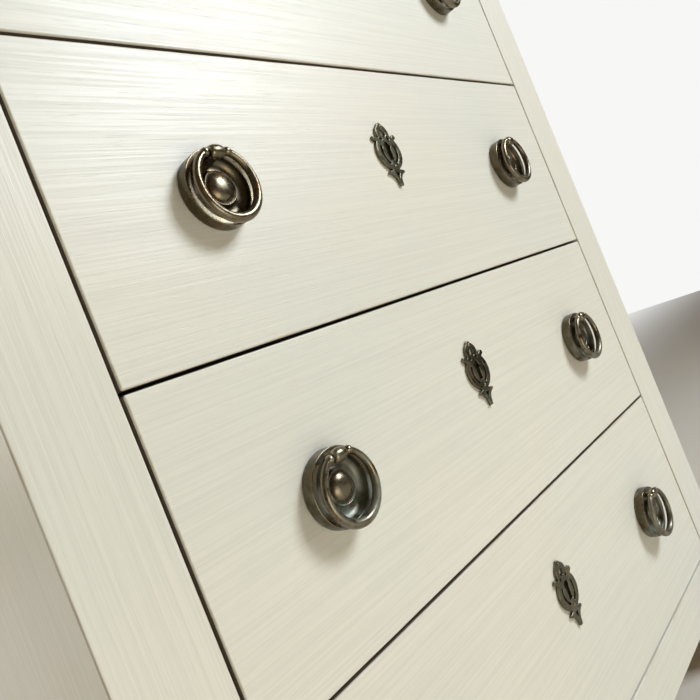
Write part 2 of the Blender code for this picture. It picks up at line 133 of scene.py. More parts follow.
class Graph:
    """Wires the nodes of one material, whose patterns follow the Object coordinates."""

    def __init__(self, name: str) -> None:
        """Start a material with a Principled shader.

        Args:
            name: The material's name.
        """
        self.material = bpy.data.materials.new(name)
        self.material.use_nodes = True
        self.tree = self.material.node_tree
        self.tree.nodes.clear()
        self.shader = self.add("ShaderNodeBsdfPrincipled")
        output = self.add("ShaderNodeOutputMaterial")
        self.tree.links.new(self.shader.outputs["BSDF"], output.inputs["Surface"])
        self.place = self.add("ShaderNodeTexCoord").outputs["Object"]

    def add(self, kind: str, **settings: object) -> bpy.types.Node:
        """Add a node.

        Args:
            kind: The node's type name.
            settings: Properties to set on it.

        Returns:
            The new node.
        """
        node = self.tree.nodes.new(kind)
        for key, value in settings.items():
            setattr(node, key, value)
        return node

    def feed(self, socket: bpy.types.NodeSocket, value: object) -> None:
        """Link a socket to another one, or set its own value.

        Args:
            socket: The input to feed.
            value: A socket, a number, or a colour.
        """
        if isinstance(value, bpy.types.NodeSocket):
            self.tree.links.new(value, socket)
        elif socket.type == "RGBA":
            socket.default_value = (*value, 1.0)
        else:
            socket.default_value = value

    def stretched(self, scales: Sequence[float]) -> bpy.types.NodeSocket:
        """Object coordinates multiplied by a scale for each axis.

        Args:
            scales: A scale for each axis.

        Returns:
            The stretched coordinates.
        """
        node = self.add("ShaderNodeVectorMath", operation="MULTIPLY")
        self.feed(node.inputs[0], self.place)
        self.feed(node.inputs[1], tuple(scales))
        return node.outputs["Vector"]

    def noise(self, scale: float | Sequence[float], detail: float = 2.0, roughness: float = 0.5,
              distortion: float = 0.0) -> bpy.types.NodeSocket:
        """Smooth noise of the place.

        Args:
            scale: Cells to the metre, as one number or one for each axis.
            detail: Octaves of finer noise.
            roughness: Share of each finer octave.
            distortion: How much the pattern is pulled about.

        Returns:
            The noise, about 0.3 to 0.7.
        """
        node = self.add("ShaderNodeTexNoise")
        scales = (scale,) * 3 if isinstance(scale, (int, float)) else scale
        self.feed(node.inputs["Vector"], self.stretched(scales))
        self.feed(node.inputs["Scale"], 1.0)
        self.feed(node.inputs["Detail"], detail)
        self.feed(node.inputs["Roughness"], roughness)
        self.feed(node.inputs["Distortion"], distortion)
        return node.outputs["Fac"]

    def bands(self, axis: Axis, scales: Sequence[float], distortion: float) -> bpy.types.NodeSocket:
        """Wavy bands across an axis, such as the growth lines of a board.

        Args:
            axis: The axis that the bands are counted along.
            scales: Cells to the metre along each axis.
            distortion: How much the bands wander.

        Returns:
            The band pattern, 0 to 1.
        """
        node = self.add("ShaderNodeTexWave", bands_direction=axis.name)
        self.feed(node.inputs["Vector"], self.stretched(scales))
        self.feed(node.inputs["Scale"], 1.0)
        self.feed(node.inputs["Distortion"], distortion)
        self.feed(node.inputs["Detail"], 2.0)
        self.feed(node.inputs["Detail Scale"], 0.6)
        return node.outputs["Fac"]

    def attribute(self, name: str) -> bpy.types.NodeSocket:
        """A number kept on the mesh."""
        return self.add("ShaderNodeAttribute", attribute_name=name).outputs["Fac"]

    def spread(self, value: object, low: float, high: float, bottom: float = 0.0,
               top: float = 1.0) -> bpy.types.NodeSocket:
        """Stretch a range of values to another range, and clamp it.

        Args:
            value: The value to stretch.
            low: What becomes bottom.
            high: What becomes top.
            bottom: Result at low.
            top: Result at high.

        Returns:
            The stretched value.
        """
        node = self.add("ShaderNodeMapRange", interpolation_type="SMOOTHSTEP")
        for key, item in (("Value", value), ("From Min", low), ("From Max", high), ("To Min", bottom),
                          ("To Max", top)):
            self.feed(node.inputs[key], item)
        return node.outputs["Result"]

    def maths(self, operation: str, first: object, second: object = 0.0) -> bpy.types.NodeSocket:
        """A sum of two values, clamped to 0 to 1.

        Args:
            operation: The node's operation.
            first: First socket or number.
            second: Second socket or number.

        Returns:
            The result.
        """
        node = self.add("ShaderNodeMath", operation=operation, use_clamp=True)
        self.feed(node.inputs[0], first)
        self.feed(node.inputs[1], second)
        return node.outputs["Value"]

    def blend(self, factor: object, first: object, second: object, mode: str = "MIX") -> bpy.types.NodeSocket:
        """Mix two colours.

        Args:
            factor: Share of the second.
            first: First colour.
            second: Second colour.
            mode: How they mix.

        Returns:
            The mixed colour.
        """
        node = self.add("ShaderNodeMix", data_type="RGBA", blend_type=mode)
        self.feed(node.inputs["Factor"], factor)
        self.feed(node.inputs[MIX_FIRST], first)
        self.feed(node.inputs[MIX_SECOND], second)
        return node.outputs[MIX_RESULT]

    def bump(self, height: object, depth: float, below: object = None) -> bpy.types.NodeSocket:
        """Relief from a height.

        Args:
            height: The height, 0 to 1.
            depth: What 1 stands for, in metres.
            below: Normal to put the relief on, if there is one already.

        Returns:
            The bent normal.
        """
        node = self.add("ShaderNodeBump")
        self.feed(node.inputs["Distance"], depth)
        self.feed(node.inputs["Height"], height)
        if below is not None:
            self.feed(node.inputs["Normal"], below)
        return node.outputs["Normal"]

    def finish(self, colour: object, roughness: object, metallic: object = 0.0, normal: object = None,
               specular: float = 0.5) -> bpy.types.Material:
        """Feed the shader.

        Args:
            colour: Base colour.
            roughness: Roughness.
            metallic: Metallic share.
            normal: Bent normal, if any.
            specular: Specular level, the same all over.

        Returns:
            The finished material.
        """
        self.feed(self.shader.inputs["Base Color"], colour)
        self.feed(self.shader.inputs["Roughness"], roughness)
        self.feed(self.shader.inputs["Metallic"], metallic)
        self.shader.inputs["Specular IOR Level"].default_value = specular
        if normal is not None:
            self.feed(self.shader.inputs["Normal"], normal)
        return self.material


def lengthwise(axis: Axis, along: float, across: float) -> list[float]:
    """Scales for a pattern that runs along an axis.

    Args:
        axis: The axis that the pattern runs along.
        along: Cells to the metre along it.
        across: Cells to the metre across it.

    Returns:
        One scale for each axis.
    """
    scales = [across] * 3
    scales[axis.value] = along
    return scales


@dataclass(frozen=True)
class BrushedPaint:
    """Cream paint brushed over an open-grained board, thinner on its rubbed arrises."""

    grain: Axis
    cream: Colour = (0.770, 0.735, 0.622)
    cool: Colour = (0.742, 0.727, 0.626)
    glaze: Colour = (0.560, 0.470, 0.330)
    # Dark brown of unpainted wood, which also stands as painted shade in the drawer gaps, the keyhole and
    # behind the keyhole plate's slots.
    raw: Colour = (0.085, 0.053, 0.030)

    @property
    def name(self) -> str:
        """The material's name."""
        return f"brushed_cream_paint_{self.grain.name.lower()}"

    def material(self) -> bpy.types.Material:
        """The material, made the first time it is asked for.

        Returns:
            The material.
        """
        known = bpy.data.materials.get(self.name)
        if known:
            return known
        graph = Graph(self.name)
        strokes = graph.noise(lengthwise(self.grain, 9, 760), detail=2, roughness=0.55)
        bristles = graph.noise(lengthwise(self.grain, 22, 1500), detail=1)
        pores = graph.spread(graph.noise(lengthwise(self.grain, 45, 1100), detail=2), 0.60, 0.72)
        broad = graph.noise(4.5, detail=3)
        colour = graph.blend(graph.spread(broad, 0.38, 0.62), self.cream, self.cool)
        shade = graph.spread(strokes, 0.3, 0.7, 0.93, 1.0)
        colour = graph.blend(1.0, colour, shade, "MULTIPLY")
        settled = graph.maths("MULTIPLY", pores, 0.10)
        colour = graph.blend(settled, colour, self.glaze)
        worn = graph.attribute("wear")
        streaks = graph.noise(lengthwise(self.grain, 30, 140), detail=3)
        rubbed = graph.maths("MULTIPLY", worn, graph.spread(streaks, 0.42, 0.66, 0.05, 0.75))
        colour = graph.blend(rubbed, colour, self.glaze)
        # Faces marked "bare" take the dark colour: unpainted wood, and painted shade in the gaps, the keyhole
        # and behind the plate's slots.
        colour = graph.blend(graph.attribute("bare"), colour, self.raw)
        height = graph.blend(0.35, strokes, bristles)
        normal = graph.bump(height, 0.13 * MM)
        normal = graph.bump(graph.maths("SUBTRACT", 1.0, pores), 0.035 * MM, normal)
        roughness = graph.spread(strokes, 0.3, 0.7, 0.46, 0.38)
        return graph.finish(colour, roughness, normal=normal, specular=0.45)


@dataclass(frozen=True)
class Timber:
    """Bare or stained wood with growth lines and fine pores."""

    name: str
    grain: Axis
    pale: Colour
    dark: Colour
    roughness: float

    def material(self) -> bpy.types.Material:
        """The material, made the first time it is asked for.

        Returns:
            The material.
        """
        known = bpy.data.materials.get(self.name)
        if known:
            return known
        graph = Graph(self.name)
        across = Axis.Y if self.grain is not Axis.Y else Axis.X
        growth = graph.bands(across, lengthwise(self.grain, 2.2, 34), 7.0)
        streak = graph.noise(lengthwise(self.grain, 6, 170), detail=4, roughness=0.6)
        pores = graph.spread(graph.noise(lengthwise(self.grain, 60, 1600), detail=1), 0.60, 0.70)
        lines = graph.maths("MULTIPLY", growth, 0.55)
        figure = graph.maths("ADD", lines, graph.maths("MULTIPLY", streak, 0.45))
        colour = graph.blend(graph.spread(figure, 0.15, 0.85), self.pale, self.dark)
        broad = graph.spread(graph.noise(5.0, detail=2), 0.35, 0.65, 0.86, 1.0)
        colour = graph.blend(1.0, colour, broad, "MULTIPLY")
        colour = graph.blend(graph.maths("MULTIPLY", pores, 0.45), colour, self.dark)
        normal = graph.bump(graph.maths("SUBTRACT", 1.0, pores), 0.06 * MM)
        normal = graph.bump(streak, 0.08 * MM, normal)
        rough = graph.spread(streak, 0.3, 0.7, self.roughness - 0.07, self.roughness + 0.07)
        return graph.finish(colour, rough, normal=normal, specular=0.35)


@dataclass(frozen=True)
class AgedBrass:
    """Cast brass, browned, darkened in its hollows by grime and by painted shade, rubbed bright on its high
    edges.
    """

    name: str
    brown: Colour
    olive: Colour
    bright: Colour
    copper: Colour = (0.270, 0.150, 0.070)
    verdigris: Colour = (0.235, 0.295, 0.260)
    # Near-black of grime, also painted shade, laid where the ray-cast occlusion is high.
    soot: Colour = (0.040, 0.037, 0.027)

    def material(self) -> bpy.types.Material:
        """The material, made the first time it is asked for.

        Returns:
            The material.
        """
        known = bpy.data.materials.get(self.name)
        if known:
            return known
        graph = Graph(self.name)
        hollow = graph.attribute("hollow")
        rub = graph.attribute("rub")
        green = graph.attribute("verdigris")
        mottle = graph.noise(260, detail=5, roughness=0.62)
        patch = graph.noise(95, detail=3, roughness=0.5)
        speck = graph.noise(1500, detail=2)
        colour = graph.blend(graph.spread(mottle, 0.36, 0.64), self.brown, self.olive)
        colour = graph.blend(graph.spread(patch, 0.50, 0.72, 0.0, 0.55), colour, self.copper)
        handled = graph.maths("MULTIPLY", rub, graph.spread(mottle, 0.30, 0.62, 0.35, 1.0))
        colour = graph.blend(handled, colour, self.bright)
        # Darker where the ray-cast occlusion "hollow" is high: grime in the hollows, and painted shade.
        occluded = graph.spread(hollow, 0.45, 1.0)
        grime_and_shade_mask = graph.maths("MULTIPLY", occluded, graph.spread(speck, 0.30, 0.60, 0.65, 1.0))
        colour = graph.blend(graph.maths("MULTIPLY", grime_and_shade_mask, 0.58), colour, self.soot)
        settled = graph.maths("ADD", graph.maths("ADD", patch, 0.08), graph.maths("MULTIPLY", hollow, 0.30))
        bloom = graph.maths("MULTIPLY", green, graph.spread(settled, 0.46, 0.74, 0.0, 0.85))
        bloom = graph.maths("MULTIPLY", bloom, graph.spread(speck, 0.30, 0.62, 0.55, 1.0))
        colour = graph.blend(bloom, colour, self.verdigris)
        grime_and_shade_dulling = graph.maths("MULTIPLY", grime_and_shade_mask, 0.45)
        dull = graph.maths("MAXIMUM", grime_and_shade_dulling, graph.maths("MULTIPLY", bloom, 0.95))
        metallic = graph.maths("SUBTRACT", 1.0, dull)
        matt = graph.spread(mottle, 0.30, 0.70, 0.24, 0.36)
        worn = graph.maths("SUBTRACT", matt, graph.maths("MULTIPLY", rub, 0.06))
        roughness = graph.maths("ADD", worn, graph.maths("MULTIPLY", dull, 0.34))
        normal = graph.bump(graph.noise(620, detail=3), 0.035 * MM)
        normal = graph.bump(speck, 0.012 * MM, normal)
        return graph.finish(colour, roughness, metallic, normal)


@dataclass(frozen=True)
class Steel:
    """Plain zinc-coated steel, a little blotchy."""

    name: str = "zinc_coated_steel"
    light: Colour = (0.56, 0.55, 0.52)
    dark: Colour = (0.34, 0.33, 0.30)

    def material(self) -> bpy.types.Material:
        """The material, made the first time it is asked for.

        Returns:
            The material.
        """
        known = bpy.data.materials.get(self.name)
        if known:
            return known
        graph = Graph(self.name)
        bloom = graph.noise(420, detail=4)
        colour = graph.blend(graph.spread(bloom, 0.35, 0.65), self.light, self.dark)
        roughness = graph.spread(bloom, 0.35, 0.65, 0.28, 0.46)
        return graph.finish(colour, roughness, 1.0, graph.bump(graph.noise(2200), 0.01 * MM))


@dataclass(frozen=True)
class StudioFloor:
    """A plain pale floor with the faintest unevenness, brightening into the backdrop behind."""

    name: str = "pale_floor"
    pale: Colour = (0.74, 0.69, 0.60)
    shade: Colour = (0.70, 0.65, 0.565)
    far: Colour = (0.93, 0.93, 0.92)
    glow_start: float = 0.2
    glow_end: float = 1.6

    def material(self) -> bpy.types.Material:
        """The material.

        Returns:
            The material.
        """
        graph = Graph(self.name)
        colour = graph.blend(graph.noise(2.0, detail=3), self.pale, self.shade)
        place = graph.add("ShaderNodeSeparateXYZ")
        graph.feed(place.inputs["Vector"], graph.place)
        behind = graph.spread(place.outputs["Y"], self.glow_start, self.glow_end)
        graph.shader.inputs["Emission Color"].default_value = (*self.far, 1.0)
        graph.feed(graph.shader.inputs["Emission Strength"], behind)
        colour = graph.blend(behind, colour, (0.0, 0.0, 0.0))
        return graph.finish(colour, 0.75)


PAINT_ACROSS = BrushedPaint(Axis.X)
PAINT_UPRIGHT = BrushedPaint(Axis.Z)
LINING_ACROSS = Timber("drawer_lining_across", Axis.X, (0.46, 0.29, 0.16), (0.27, 0.15, 0.075), 0.50)
LINING_DEEP = Timber("drawer_lining_deep", Axis.Y, (0.46, 0.29, 0.16), (0.27, 0.15, 0.075), 0.50)
RUNNER_DEEP = Timber("runner_wood_deep", Axis.Y, (0.56, 0.41, 0.26), (0.36, 0.23, 0.13), 0.62)
BACK_UPRIGHT = Timber("back_wood_upright", Axis.Z, (0.54, 0.39, 0.24), (0.35, 0.22, 0.12), 0.60)
CAST_BRASS = AgedBrass("aged_brass_finish", brown=(0.122, 0.090, 0.052), olive=(0.090, 0.083, 0.056),
                       bright=(0.580, 0.495, 0.350))
PLATE_BRASS = AgedBrass("dark_brass_finish", brown=(0.108, 0.092, 0.056), olive=(0.098, 0.103, 0.070),
                        bright=(0.320, 0.285, 0.200))
STEEL = Steel()


# ---------------------------------------------------------------------------
# Mesh work
# ---------------------------------------------------------------------------


def shade(mesh: bpy.types.Mesh, angle: float = 33.0) -> bpy.types.Mesh:
    """Shade a mesh smooth, but for edges sharper than an angle in degrees.

    Args:
        mesh: The mesh.
        angle: Edges sharper than this many degrees stay sharp.

    Returns:
        The same mesh.
    """
    mesh.shade_smooth()
    mesh.set_sharp_from_angle(angle=math.radians(angle))
    return mesh


def closed_mesh(name: str, bm: bmesh.types.BMesh, merge: float = 1e-7) -> bpy.types.Mesh:
    """Merge a bmesh's doubles, turn its faces outwards and make it a mesh.

    Args:
        name: The mesh's name.
        bm: The bmesh, which is freed.
        merge: Distance under which points are one.

    Returns:
        The mesh.
    """
    bmesh.ops.remove_doubles(bm, verts=bm.verts, dist=merge)
    bmesh.ops.dissolve_degenerate(bm, edges=bm.edges, dist=merge)
    bmesh.ops.recalc_face_normals(bm, faces=bm.faces)
    mesh = bpy.data.meshes.new(name)
    bm.to_mesh(mesh)
    bm.free()
    return mesh


def lofted(name: str, loops: Sequence[Sequence[Vector]],
           wear: Sequence[Sequence[float]] | None = None) -> bpy.types.Mesh:
    """Skin a row of closed loops of equal count, with its two ends capped.

    Args:
        name: The mesh's name.
        loops: The loops, in order.
        wear: A number for each point, kept as the attribute "wear".

    Returns:
        The closed mesh.
    """
    count = len(loops[0])
    points = [tuple(point) for loop in loops for point in loop]
    faces = []
    for row in range(len(loops) - 1):
        start = row * count
        for side in range(count):
            after = (side + 1) % count
            faces.append((start + side, start + after, start + count + after, start + count + side))
    faces.append(tuple(range(count)))
    faces.append(tuple(range(len(points) - count, len(points))))
    mesh = bpy.data.meshes.new(name)
    mesh.from_pydata(points, [], faces)
    if wear is not None:
        layer = mesh.attributes.new("wear", "FLOAT", "POINT")
        layer.data.foreach_set("value", [value for row in wear for value in row])
    bm = bmesh.new()
    bm.from_mesh(mesh)
    bpy.data.meshes.remove(mesh)
    return closed_mesh(name, bm)


def turned(name: str, profile: Outline, sides: int) -> bpy.types.Mesh:
    """Spin a profile of (radius, height) points round Z into a closed mesh.

    Args:
        name: The mesh's name.
        profile: Points that start and end on the axis.
        sides: Steps in a full turn.

    Returns:
        The mesh.
    """
    bm = bmesh.new()
    verts = [bm.verts.new((radius, 0, height)) for radius, height in profile]
    edges = [bm.edges.new(pair) for pair in zip(verts, verts[1:])]
    bmesh.ops.spin(bm, geom=verts + edges, cent=(0, 0, 0), axis=(0, 0, 1), angle=math.tau, steps=sides)
    return closed_mesh(name, bm, 1e-6)


def prism(name: str, outline: Outline, low: float, high: float, axis: Axis) -> bpy.types.Mesh:
    """Extrude an outline along an axis.

    Args:
        name: The mesh's name.
        outline: Points in the plane of the other two axes, in their order X, Y, Z.
        low: Where it starts along the axis.
        high: Where it ends.
        axis: The axis.

    Returns:
        The mesh.
    """
    loops = []
    for level in (low, high):
        loop = []
        for first, second in outline:
            place = [first, second]
            place.insert(axis.value, level)
            loop.append(Vector(place))
        loops.append(loop)
    return lofted(name, loops)


def combined(first: bpy.types.Mesh, second: bpy.types.Mesh, how: Cut) -> bpy.types.Mesh:
    """Join one closed mesh to another, or cut it away, with an exact Boolean.

    Args:
        first: The mesh to change.
        second: The mesh that changes it.
        how: Whether it is joined or removed.

    Returns:
        A new mesh.
    """
    target = bpy.data.objects.new("target", first)
    tool = bpy.data.objects.new("tool", second)
    for thing in (target, tool):
        bpy.context.scene.collection.objects.link(thing)
    modifier = target.modifiers.new("cut", "BOOLEAN")
    modifier.operation = how.value
    modifier.solver = "EXACT"
    modifier.object = tool
    result = evaluated(target)
    bpy.data.objects.remove(tool)
    bpy.data.objects.remove(target)
    return result


def evaluated(thing: bpy.types.Object) -> bpy.types.Mesh:
    """A plain mesh of an object with its modifiers applied."""
    depsgraph = bpy.context.evaluated_depsgraph_get()
    return bpy.data.meshes.new_from_object(thing.evaluated_get(depsgraph), depsgraph=depsgraph)


def joined(name: str, meshes: Iterable[bpy.types.Mesh]) -> bpy.types.Mesh:
    """Put separate meshes into one, without a Boolean.

    Args:
        name: The result's name.
        meshes: The meshes.

    Returns:
        One mesh with all of them.
    """
    bm = bmesh.new()
    for mesh in meshes:
        bm.from_mesh(mesh)
    whole = bpy.data.meshes.new(name)
    bm.to_mesh(whole)
    bm.free()
    return whole


def moved(mesh: bpy.types.Mesh, matrix: Matrix) -> bpy.types.Mesh:
    """A copy of a mesh, put in another place.

    Args:
        mesh: The mesh.
        matrix: Where it goes.

    Returns:
        The moved copy.
    """
    copy = mesh.copy()
    copy.transform(matrix)
    if matrix.determinant() < 0:
        copy.flip_normals()
    return copy


def eased(mesh: bpy.types.Mesh, width: float, segments: int = 2, angle: float = 40.0) -> bpy.types.Mesh:
    """Round a mesh's sharp edges a little, and shade its flats flat.

    Args:
        mesh: The closed mesh.
        width: Width of the rounding.
        segments: Facets of the rounding.
        angle: Edges sharper than this are rounded, in degrees.

    Returns:
        A new mesh.
    """
    carrier = bpy.data.objects.new("carrier", shade(mesh))
    bpy.context.scene.collection.objects.link(carrier)
    bevel = carrier.modifiers.new("rounding", "BEVEL")
    bevel.width = width
    bevel.segments = segments
    bevel.limit_method = "ANGLE"
    bevel.angle_limit = math.radians(angle)
    bevel.harden_normals = True
    result = evaluated(carrier)
    bpy.data.objects.remove(carrier)
    return result


def arc(centre: Point, radius: float, start: float, end: float, steps: int) -> Outline:
    """Points along an arc, both ends included.

    Args:
        centre: Middle of the arc.
        radius: Its radius.
        start: First angle, in degrees.
        end: Last angle, in degrees.
        steps: Number of steps.

    Returns:
        The points.
    """
    points = []
    for step in range(steps + 1):
        angle = math.radians(start + (end - start) * step / steps)
        points.append((centre[0] + radius * math.cos(angle), centre[1] + radius * math.sin(angle)))
    return points


def circle(centre: Point, radius: float, sides: int) -> Outline:
    """Points round a full circle."""
    return arc(centre, radius, 0, 360, sides)[:-1]


def mirrored(points: Outline) -> Outline:
    """The same points on the other side of 0, in the opposite order."""
    return [(-first, second) for first, second in reversed(points)]


def flowing(points: Outline, steps: int) -> Outline:
    """A smooth line through points, by the Catmull-Rom rule, without the last point.

    Args:
        points: Points to pass through.
        steps: Steps between each two.

    Returns:
        The points of the line.
    """
    padded = [points[0], *points, points[-1]]
    line = []
    for before, start, end, after in zip(padded, padded[1:], padded[2:], padded[3:]):
        for step in range(steps):
            t = step / steps
            line.append(tuple(
                0.5 * (2 * s + (e - b) * t + (2 * b - 5 * s + 4 * e - a) * t * t
                       + (3 * s - b - 3 * e + a) * t ** 3)
                for b, s, e, a in zip(before, start, end, after)))
    return line


@dataclass
class Board:
    """A length of board whose arrises are rounded by hand, a little unevenly.

    Flat faces keep a narrow margin of their own next to each arris, so they shade flat.
    """

    low: Vector
    high: Vector
    along: Axis
    radius: float = 1.0 * MM
    unevenness: float = 0.25
    pitch: float = 12.0 * MM
    margin: float = 0.3 * MM
    arris_steps: int = 4
    narrowed: Callable[[float], tuple[float, float, float, float]] | None = None
    knees: tuple[float, ...] = ()

    def stations(self) -> list[tuple[float, float, float, float]]:
        """Places along the board.

        Returns:
            For each: place along the axis, share of the arris radius, inset, wear.
        """
        low, high = self.low[self.along.value], self.high[self.along.value]
        head = [(0.0, 0.0, self.margin, 0.0)]
        for step in range(self.arris_steps, -1, -1):
            turn = math.pi / 2 * step / self.arris_steps
            head.append((self.radius * (1 - math.sin(turn)), math.cos(turn), 0.0, math.sin(2 * turn)))
        head.append((self.radius + self.margin, 1.0, 0.0, 0.0))
        inner = high - low - 2 * head[-1][0]
        count = max(2, round(inner / self.pitch))
        middle = [low + head[-1][0] + inner * step / count for step in range(1, count)]
        middle += [knee + offset for knee in self.knees for offset in (-self.margin, self.margin)]
        rows = [(low + place, share, inset, wear) for place, share, inset, wear in head]
        rows += [(place, 1.0, 0.0, 0.0) for place in sorted(middle)]
        rows += [(high - place, share, inset, wear) for place, share, inset, wear in reversed(head)]
        return rows

    def mesh(self, name: str) -> bpy.types.Mesh:
        """The board's closed mesh, with its arrises marked in the attribute "wear".

        Args:
            name: The mesh's name.

        Returns:
            The mesh.
        """
        first, second = [axis for axis in range(3) if axis != self.along.value]
        loops, wears = [], []
        for place, share, inset, end_wear in self.stations():
            sides = (self.low[first], self.high[first], self.low[second], self.high[second])
            if self.narrowed:
                sides = self.narrowed(place)
            loop, wear = [], []
            for corner in range(4):
                ahead = (round(math.cos(corner * math.pi / 2)), round(math.sin(corner * math.pi / 2)))
                beside = (-ahead[1], ahead[0])
                toward = (ahead[0] + beside[0], ahead[1] + beside[1])
                tip = (sides[1] if toward[0] > 0 else sides[0], sides[3] if toward[1] > 0 else sides[2])
                wobble = noise.noise(Vector((place * 38 + self.low.x * 7, tip[0] * 9 + corner, tip[1] * 9)))
                radius = self.radius * (1 + self.unevenness * wobble)
                centre = [tip[i] - toward[i] * (radius + inset) for i in (0, 1)]
                radius *= share
                loop.append([centre[i] + radius * ahead[i] - self.margin * beside[i] for i in (0, 1)])
                wear.append(end_wear)
                for step in range(self.arris_steps + 1):
                    turn = math.pi / 2 * step / self.arris_steps
                    loop.append([centre[i] + radius * (math.cos(turn) * ahead[i] + math.sin(turn) * beside[i])
                                 for i in (0, 1)])
                    wear.append(max(end_wear, math.sin(2 * turn)) if not inset else 0.0)
                loop.append([centre[i] + radius * beside[i] - self.margin * ahead[i] for i in (0, 1)])
                wear.append(end_wear)
            points = []
            for pair in loop:
                pair.insert(self.along.value, place)
                points.append(Vector(pair))
            loops.append(points)
            wears.append(wear)
        return shade(lofted(name, loops, wears), 40)


@dataclass
class Piece:
    """One finished piece: its mesh, its dress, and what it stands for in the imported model."""

    name: str
    mesh: bpy.types.Mesh
    finish: object
    body: str
    replaces: tuple[str, ...] = ()
    slot: str | None = None

    def place(self) -> bpy.types.Object:
        """Link the piece, dress it and set it to ride on its body.

        Returns:
            The piece's object.
        """
        thing = bpy.data.objects.new(self.name, self.mesh)
        self.mesh.name = self.name
        bpy.context.scene.collection.objects.link(thing)
        self.mesh.materials.clear()
        self.mesh.materials.append(self.finish.material())
        self.mesh.polygons.foreach_set("material_index", [0] * len(self.mesh.polygons))
        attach(thing, self.body)
        if self.replaces:
            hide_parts(*self.replaces)
        LOG.info("%-26s %6d faces on %s", self.name, len(self.mesh.polygons), self.body)
        return thing


def dress_node(node: str, finish: object) -> None:
    """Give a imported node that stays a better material.

    Args:
        node: The node's name.
        finish: Its finish.
    """
    slots = frame["nodes"][node].material_slots
    for item in slots:
        item.material = finish.material()
    LOG.info("%-26s kept, dressed in %s", node, finish.name)


# ---------------------------------------------------------------------------
# Geometry Nodes trees
# ---------------------------------------------------------------------------


class NodeTree:
    """A Geometry Nodes tree with named inputs, run on a mesh to give a plain mesh."""

    def __init__(self, name: str, inputs: dict[str, str]) -> None:
        """Start a tree that takes and gives geometry.

        Args:
            name: The tree's name.
            inputs: Its inputs besides the geometry, as name and socket type.
        """
        self.tree = bpy.data.node_groups.new(name, "GeometryNodeTree")
        self.tree.interface.new_socket("Geometry", in_out="INPUT", socket_type="NodeSocketGeometry")
        for label, kind in inputs.items():
            self.tree.interface.new_socket(label, in_out="INPUT", socket_type=kind)
        self.tree.interface.new_socket("Geometry", in_out="OUTPUT", socket_type="NodeSocketGeometry")
        self.given = self.tree.nodes.new("NodeGroupInput").outputs
        self.result = self.tree.nodes.new("NodeGroupOutput").inputs["Geometry"]

    def add(self, kind: str, settings: dict[str, object] | None = None, **links: object) -> bpy.types.Node:
        """Add a node and feed its inputs.

        Args:
            kind: The node's type name.
            settings: Properties to set on it.
            links: A socket or a value for each input, named with _ for a space.

        Returns:
            The node.
        """
        node = self.tree.nodes.new(kind)
        for key, value in (settings or {}).items():
            setattr(node, key, value)
        enabled = {socket.name: socket for socket in reversed(list(node.inputs)) if socket.enabled}
        for key, value in links.items():
            socket = enabled[key.replace("_", " ")]
            if isinstance(value, bpy.types.NodeSocket):
                self.tree.links.new(value, socket)
            else:
                socket.default_value = value
        return node

    def end(self, geometry: bpy.types.NodeSocket) -> None:
        """Finish with real geometry in one material.

        Args:
            geometry: What the tree made.
        """
        real = self.add("GeometryNodeRealizeInstances", Geometry=geometry)
        dressed = self.add("GeometryNodeSetMaterial", Geometry=real.outputs[0], Material=self.given["Finish"])
        self.tree.links.new(dressed.outputs[0], self.result)

    def run(self, base: bpy.types.Mesh, values: dict[str, object]) -> bpy.types.Mesh:
        """Run the tree on a mesh.

        Args:
            base: The mesh that it starts from.
            values: A value for each named input.

        Returns:
            The result as a plain mesh.
        """
        carrier = bpy.data.objects.new("carrier", base)
        bpy.context.scene.collection.objects.link(carrier)
        modifier = carrier.modifiers.new("tree", "NODES")
        modifier.node_group = self.tree
        for item in self.tree.interface.items_tree:
            if item.in_out == "INPUT" and item.name in values:
                modifier[item.identifier] = values[item.name]
        mesh = evaluated(carrier)
        carrier.modifiers.remove(modifier)
        bpy.data.objects.remove(carrier)
        return mesh


class FastenerTree(NodeTree):
    """Sets a fastener at every point of a mesh, facing as the point says, turned at random."""

    def __init__(self) -> None:
        """Build the tree."""
        super().__init__("fasteners at points", {"Head": "NodeSocketObject", "Turn Seed": "NodeSocketInt",
                                                 "Finish": "NodeSocketMaterial"})
        facing = self.add("GeometryNodeInputNamedAttribute", {"data_type": "FLOAT_VECTOR"}, Name="facing")
        upright = self.add("FunctionNodeAlignRotationToVector", {"axis": "Z"}, Vector=facing.outputs[0])
        turn = self.add("FunctionNodeRandomValue", {"data_type": "FLOAT"}, Max=math.tau,
                        Seed=self.given["Turn Seed"])
        about = self.add("FunctionNodeAxisAngleToRotation", Axis=(0, 0, 1), Angle=turn.outputs[1])
        turned_head = self.add("FunctionNodeRotateRotation", {"rotation_space": "LOCAL"},
                               Rotation=upright.outputs[0], Rotate_By=about.outputs[0])
        head = self.add("GeometryNodeObjectInfo", Object=self.given["Head"])
        heads = self.add("GeometryNodeInstanceOnPoints", Points=self.given["Geometry"],
                         Instance=head.outputs["Geometry"], Rotation=turned_head.outputs[0])
        self.end(heads.outputs[0])

    def set_heads(self, head: bpy.types.Mesh, places: Sequence[tuple[Vector, Vector]], seed: int,
                  finish: object) -> bpy.types.Mesh:
        """Set heads at places.

        Args:
            head: One fastener, its outside facing +Z.
            places: Where each sits, and which way it faces.
            seed: Seed of the random turns.
            finish: The fasteners' finish.

        Returns:
            All of them as one mesh.
        """
        base = bpy.data.meshes.new("places")
        base.from_pydata([tuple(place) for place, _ in places], [], [])
        layer = base.attributes.new("facing", "FLOAT_VECTOR", "POINT")
        layer.data.foreach_set("vector", [value for _, facing in places for value in facing])
        template = bpy.data.objects.new("head", head)
        bpy.context.scene.collection.objects.link(template)
        mesh = self.run(base, {"Head": template, "Turn Seed": seed, "Finish": finish.material()})
        bpy.data.objects.remove(template)
        return mesh


